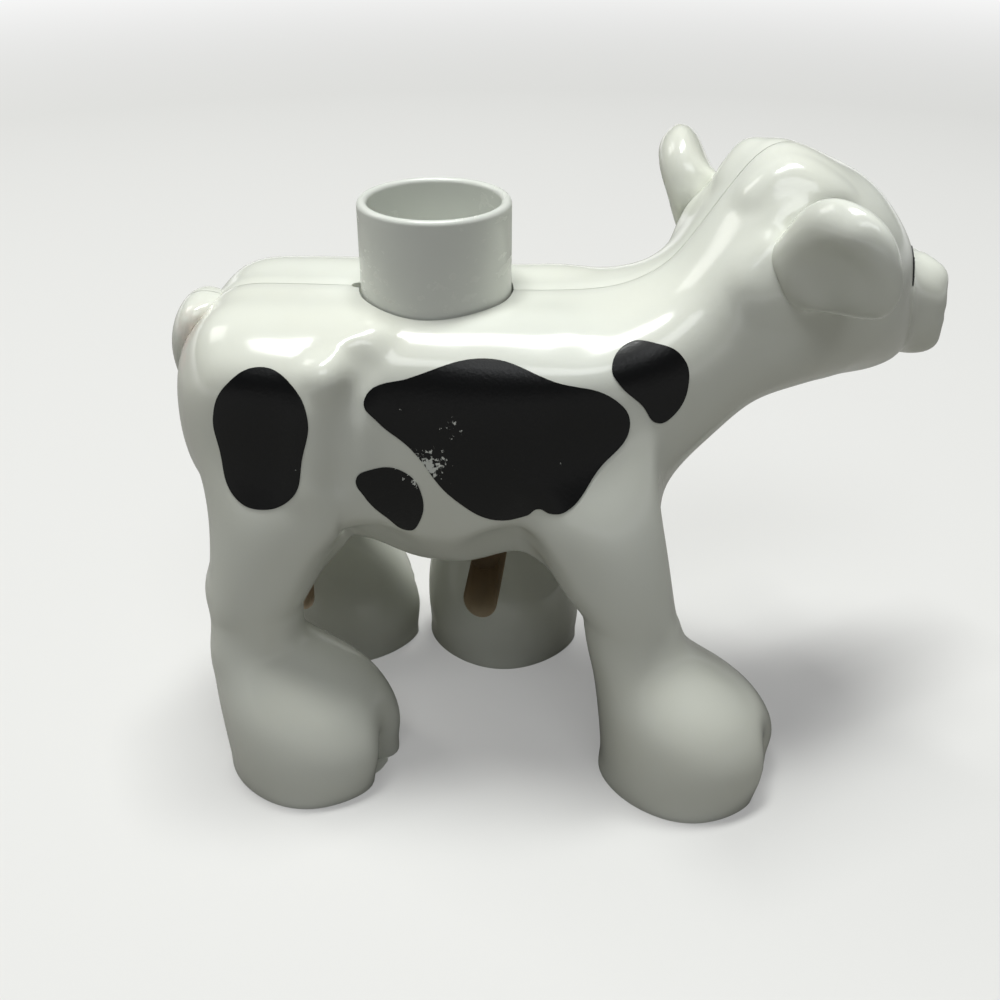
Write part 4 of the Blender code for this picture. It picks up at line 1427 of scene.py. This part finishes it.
def stud_room():
    """The room that the stud and its flange need in the halves."""
    outer, flange = STUD_DIAMETER / 2 + STUD_GAP, FLANGE_RADIUS + STUD_GAP
    top, seat = stud_high.z, stud_low.z + FLANGE_THICKNESS + STUD_GAP
    bottom = stud_low.z - STUD_GAP
    profile = [(0, top), (outer, top), (outer, seat), (flange, seat), (flange, bottom), (0, bottom)]
    return turn_profile("stud_room", profile, STUD_STEPS)


def seam_notch():
    """The seam opens into a small nick where it meets the back of the stud."""
    top, bottom = BACK_HEIGHT + OVERRUN, BACK_HEIGHT - NICK_DEPTH
    profile = [(0, top), (NICK_RADIUS, top), (NICK_RADIUS, bottom), (0, bottom)]
    notch = turn_profile("seam_notch", profile, NICK_STEPS)
    notch.data.transform(Matrix.Translation((-STUD_DIAMETER / 2 - NICK_RADIUS / 2, 0, 0)))
    return notch


hollow = make_hollow()
print("hollow:", len(hollow.data.polygons), "faces")

# %% [markdown]
# The legs are cored from their inner faces, so that the plastic cools evenly and doesn't sink. The
# slot is a round-ended tool, a little narrower at the bottom so that it draws out of the mould.

# %% Slots in the legs
SLOT_LOW_SHARES = (0.10, 0.43)
SLOT_HIGH_SHARES = (0.40, 0.84)
SLOT_DRAFT_SHARE = 0.85
SLOT_CORNERS = 32
SLOT_MOUTH = 0.15 * MM
SLOT_FLOOR = STANCE / 2 + SHANK_WIDTH / 2 - WALL


def slot_ends(shares):
    low = leg_centre(shares, "ankle", "foot", SLOT_LOW_SHARES[0]), SLOT_LOW_SHARES[1] * BELLY_HEIGHT
    high = leg_centre(shares, "knee", "ankle", SLOT_HIGH_SHARES[0]), SLOT_HIGH_SHARES[1] * BELLY_HEIGHT
    return low, high


def slot_tool(leg, shares):
    bm = bmesh.new()
    widths = ((SLOT_MOUTH, SLOT_WIDTH / 2), (SLOT_FLOOR, SLOT_WIDTH / 2 * SLOT_DRAFT_SHARE))
    for y, radius in widths:
        for x, z in slot_ends(shares):
            for n in range(SLOT_CORNERS):
                angle = 2 * math.pi * n / SLOT_CORNERS
                bm.verts.new((x + radius * math.cos(angle), shares[0] * y, z + radius * math.sin(angle)))
    hull = bmesh.ops.convex_hull(bm, input=bm.verts)
    spare = {v for v in hull["geom_interior"] if isinstance(v, bmesh.types.BMVert)}
    bmesh.ops.delete(bm, geom=list(spare), context="VERTS")
    return as_object(f"{leg}_slot", bm)


# %% [markdown]
# The parting tool is everything on one side of the bent middle surface. Half the gap at the seam is
# taken from each half. A block cuts the soles flat, so that the calf stands.

# %% Parting and standing
BEND_STEPS = 24


def parting_tool(side):
    reach = TORSO_LENGTH + HEAD_REACH
    stops = [TURN_START + TURN_LENGTH * n / BEND_STEPS for n in range(BEND_STEPS + 1)]
    stops = [-reach, *stops, WITHERS_X + HEAD_REACH + HEAD_WIDTH]
    line = [turned((x, -side * SEAM_GAP / 2, 0)) for x in stops]
    line += [Vector((line[-1].x, side * reach, 0)), Vector((line[0].x, side * reach, 0))]
    bm = bmesh.new()
    base = bm.faces.new([bm.verts.new((p.x, p.y, -OVERRUN)) for p in line])
    raised = bmesh.ops.extrude_face_region(bm, geom=[base])
    tops = [v for v in raised["geom"] if isinstance(v, bmesh.types.BMVert)]
    bmesh.ops.translate(bm, vec=(0, 0, BACK_HEIGHT + 2 * HEAD_RISE), verts=tops)
    return as_object("other_side", bm)


def table_tool():
    bm = bmesh.new()
    bmesh.ops.create_cube(bm, size=1.0)
    bmesh.ops.scale(bm, vec=(4 * TORSO_LENGTH, 4 * TORSO_LENGTH, OVERRUN), verts=bm.verts)
    bmesh.ops.translate(bm, vec=(0, 0, -OVERRUN / 2), verts=bm.verts)
    return as_object("table_tool", bm)


# %% [markdown]
# ## The two halves
# Each half is the skin with its tail, less the other side, the hollow, the room for the stud, the
# table and its slots. The left half has the sockets and the right half the pins. Edges sharper than
# 35 degrees stay crisp and the rest shade as one smooth surface. The faces inside the slots are
# marked for painted shade and bounced light, which the shell plastic paints a warm brown. A Boolean
# leaves long many-sided faces, slivers and now and then two faces back to back that enclose nothing,
# so each piece is cleaned, as triangles, before it is finished.

# %% Mould the halves
SHARP = math.radians(35)
NEARLY = 0.01 * MM
WALL_TILT = 0.25


def mark_painted_bounce(obj, legs):
    """Writes how much painted shade and bounced light each face takes: one for the walls and the floor of
    a slot, and nought elsewhere.
    """
    centres = read_vectors(obj.data.polygons, "center")
    facings = read_vectors(obj.data.polygons, "normal")
    painted_bounce = np.zeros(len(centres))
    for shares in legs:
        away = distance_to(centres[:, [0, 2]], np.array(slot_ends(shares)))
        depth = centres[:, 1] * shares[0]
        wall = (np.abs(facings[:, 1]) < WALL_TILT) & (depth > 0) & (depth < SLOT_FLOOR)
        deepest = np.abs(depth - SLOT_FLOOR) < NEARLY
        painted_bounce[(away < SLOT_WIDTH / 2 + NEARLY) & (wall | deepest)] = 1.0
    layer = obj.data.attributes.new("painted_bounce", "FLOAT", "FACE")
    layer.data.foreach_set("value", painted_bounce)


def clean_faces(obj):
    """Makes triangles, closes up slivers and drops faces that lie back to back on the same corners."""
    bm = bmesh.new()
    bm.from_mesh(obj.data)
    bmesh.ops.triangulate(bm, faces=bm.faces, quad_method="FIXED", ngon_method="EAR_CLIP")
    bmesh.ops.dissolve_degenerate(bm, edges=bm.edges, dist=0.0001 * MM)
    same = {}
    for face in bm.faces:
        same.setdefault(frozenset(tuple(vert.co) for vert in face.verts), []).append(face)
    pockets = [face for faces in same.values() if len(faces) == 2 for face in faces]
    bmesh.ops.delete(bm, geom=pockets, context="FACES")
    bm.to_mesh(obj.data)
    bm.free()


def finish_piece(obj, plastic):
    clean_faces(obj)
    obj.data.materials.clear()
    obj.data.materials.append(plastic)
    obj.data.polygons.foreach_set("material_index", [0] * len(obj.data.polygons))
    obj.data.shade_smooth()
    obj.data.set_sharp_from_angle(angle=SHARP)
    obj.data.transform(Matrix.Translation(STUD_AXIS))
    obj.data.update()
    return obj


def mould_half(side_name, side):
    half = copy_of(skin, f"{side_name}_half_moulding")
    legs = {leg: shares for leg, shares in LEG_SHARES.items() if shares[0] == side}
    tools = [parting_tool(-side), copy_of(hollow, "hollow_copy"), stud_room(), seam_notch(), table_tool()]
    tools += [slot_tool(leg, shares) for leg, shares in legs.items()]
    if side > 0:
        tools.append(bars("sockets", PIN_DIAMETER / 2 + STUD_GAP, -SEAM_GAP, PIN_LENGTH + SEAM_GAP))
    cut(half, [tail], "UNION")
    cut(half, tools)
    discard(*tools)
    if side < 0:
        pins = bars("pins", PIN_DIAMETER / 2, -PIN_LENGTH, PIN_LENGTH)
        cut(half, [pins], "UNION")
        discard(pins)
    # The slot faces are marked for painted shade and bounced light.
    mark_painted_bounce(half, legs.values())
    return finish_piece(half, shell_plastic)


right_half = mould_half("right", -1)
left_half = mould_half("left", 1)
finish_piece(stud_tube, stud_plastic)
print("halves:", len(right_half.data.polygons), "and", len(left_half.data.polygons), "faces")

# %% [markdown]
# ## The printed patches
# An ink film is a few hundredths of a millimetre thick and follows the skin. It could be painted on
# in the shader, but as a piece of its own it keeps its crisp edge in any renderer. A flat outline,
# drawn as a smooth closed curve with a handful of anchors, is pushed through the flank as a prism.
# What the prism shares with a slightly swollen skin, less the skin itself, is the film.

# %% Outlines of the patches
FILM = 0.05 * MM
PRISM_START = 1.0 * MM
CURVE_STEPS = 10
HAUNCH_PATCH = (
    (-9.4, 30.1), (-7.5, 29.3), (-6.65, 27.7), (-7.1, 25.0), (-7.9, 22.45), (-9.8, 21.6), (-11.5, 22.3),
    (-12.2, 25.0), (-12.4, 27.1), (-11.4, 29.1),
)
FLANK_PATCH = (
    (-3.5, 28.2), (-1.0, 29.25), (3.4, 30.4), (7.5, 29.5), (11.0, 28.4), (11.95, 26.7), (10.2, 24.2),
    (8.4, 21.8), (7.4, 21.5), (6.75, 21.65), (6.0, 20.95), (4.5, 20.3), (1.6, 21.8), (-0.9, 25.0),
    (-2.8, 26.8),
)
BELLY_PATCH = (
    (-4.15, 23.3), (-3.3, 23.75), (-1.3, 23.4), (-0.4, 22.1), (-0.6, 19.8), (-1.3, 19.05), (-2.6, 20.2),
    (-3.8, 22.0),
)
SHOULDER_PATCH = (
    (10.75, 30.2), (11.4, 31.0), (13.3, 31.15), (14.8, 30.5), (15.3, 29.0), (14.4, 26.9), (13.6, 26.7),
    (12.6, 27.9), (11.2, 29.3),
)
FAR_HAUNCH_PATCH = (
    (-12.0, 27.4), (-9.6, 28.9), (-7.6, 28.2), (-6.8, 26.0), (-7.4, 23.4), (-9.2, 21.8), (-11.2, 22.8),
    (-12.4, 25.2),
)
FAR_RIB_PATCH = (
    (2.2, 27.6), (4.6, 29.3), (7.6, 28.8), (9.4, 26.4), (8.6, 23.5), (6.3, 22.2), (3.7, 23.0),
    (2.0, 25.2),
)
PATCHES = {
    "haunch_print": (-1, HAUNCH_PATCH),
    "flank_print": (-1, FLANK_PATCH),
    "belly_print": (-1, BELLY_PATCH),
    "shoulder_print": (-1, SHOULDER_PATCH),
    "far_haunch_print": (1, FAR_HAUNCH_PATCH),
    "far_rib_print": (1, FAR_RIB_PATCH),
    "far_shoulder_print": (1, SHOULDER_PATCH),
}
print("patches:", ", ".join(PATCHES))


# %% Printing tools
def closed_curve(curve, anchors):
    spline = curve.splines.new("BEZIER")
    spline.bezier_points.add(len(anchors) - 1)
    for point, (across, up) in zip(spline.bezier_points, anchors):
        point.co = (across, up, 0)
        point.handle_left_type = point.handle_right_type = "AUTO"
    spline.use_cyclic_u = True
    spline.resolution_u = CURVE_STEPS


def prism(name, outlines, axes, start, end):
    """A flat outline, holed where outlines lie inside it, pushed through space along the third axis."""
    curve = bpy.data.curves.new(name, "CURVE")
    curve.dimensions = "2D"
    curve.fill_mode = "BOTH"
    curve.extrude = abs(end - start) / 2
    for anchors in outlines:
        closed_curve(curve, anchors)
    obj = add_object(name, curve)
    bpy.context.view_layer.update()
    mesh = bpy.data.meshes.new_from_object(obj.evaluated_get(bpy.context.evaluated_depsgraph_get()))
    discard(obj)
    across, up, through, origin = axes
    place = Matrix((across, up, through)).transposed().to_4x4()
    mesh.transform(Matrix.Translation(Vector(origin) + through * (start + end) / 2) @ place)
    return tidy_faces(add_object(name, mesh))


def swollen_skin():
    swollen = copy_of(skin, "swollen_skin")
    points, normals = read_skin(swollen)
    write_skin(swollen, points + normals * FILM)
    return swollen


def print_film(name, outlines, axes, start, end):
    film = prism(name, outlines, axes, start, end)
    cut(film, [swollen], "INTERSECT")
    cut(film, [skin])
    return finish_piece(film, print_ink)


def in_metres(outline):
    return [(across * MM, up * MM) for across, up in outline]


def print_patches():
    films = []
    level, upright = Vector((1, 0, 0)), Vector((0, 0, 1))
    for name, (side, outline) in PATCHES.items():
        axes = (level, upright, Vector((0, side, 0)), (0, 0, 0))
        films.append(print_film(name, [in_metres(outline)], axes, PRISM_START, TORSO_WIDTH))
    return films


swollen = swollen_skin()
films = print_patches()
print("films:", {film.name: len(film.data.polygons) for film in films})

# %% [markdown]
# The eyes are printed where the brow turns into the cheek. From the camera only the near edge of
# one shows, as a fine line that comes to a point. A dark pupil with a white glint fills it, as on
# most such toys. Each eye is one film: the outline curve, a hole inside it, the pupil inside the
# hole, and a smaller hole for the glint.

# %% Eyes
EYE_PLACE = (0.705, 4.95, 0.168)
EYE_TURN = math.radians(42)
EYE_DEPTH = 3.0 * MM
EYE_OUTLINE = (
    (0.0, 1.25), (0.6, 0.9), (0.85, 0.15), (0.62, -0.62), (0.1, -1.25), (-0.1, -1.25), (-0.62, -0.62),
    (-0.85, 0.15), (-0.6, 0.9),
)
EYE_LINE = 0.11 * MM
PUPIL = 0.56 * MM
GLINT = 0.17 * MM
GLINT_OFFSET = 0.18 * MM
CIRCLE_ANCHORS = 8


def ring_outline(radius, left, up):
    angles = [2 * math.pi * n / CIRCLE_ANCHORS for n in range(CIRCLE_ANCHORS)]
    return [(left + radius * math.cos(a), up + radius * math.sin(a)) for a in angles]


def print_eye(name, side):
    along, left, rise = EYE_PLACE
    facing = HEAD_TURN + side * EYE_TURN
    through = Vector((math.cos(facing), math.sin(facing), 0))
    across = Vector((-math.sin(facing), math.cos(facing), 0))
    origin = Vector(on_head(along, side * left, rise)) - through * EYE_DEPTH
    outer = in_metres(EYE_OUTLINE)
    shrink = 1 - EYE_LINE / max(across for across, _ in outer)
    inner = [(across * shrink, up * shrink) for across, up in outer]
    pupil, glint = ring_outline(PUPIL, 0, 0), ring_outline(GLINT, GLINT_OFFSET, GLINT_OFFSET)
    outlines = [outer, inner, pupil, glint]
    return print_film(name, outlines, (across, Vector((0, 0, 1)), through, origin), 0.0, 3 * EYE_DEPTH)


films += [print_eye("right_eye_print", -1), print_eye("left_eye_print", 1)]
discard(swollen, skin, tail, hollow)
print("eyes:", [len(film.data.polygons) for film in films[-2:]])

# %% [markdown]
# ## Riding on the body
# The finished pieces ride on the calf's one body. The halves and the stud stand for their CAD
# solids, which are hidden.

# %% Riding, with the CAD solids hidden
for piece, node, slot in (
    (right_half, "right_half_shell", "shell_plastic"),
    (left_half, "left_half_shell", "shell_plastic"),
    (stud_tube, "back_stud", "stud_plastic"),
):
    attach(piece, "root")
    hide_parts(node)
for film in films:
    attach(film, "root")
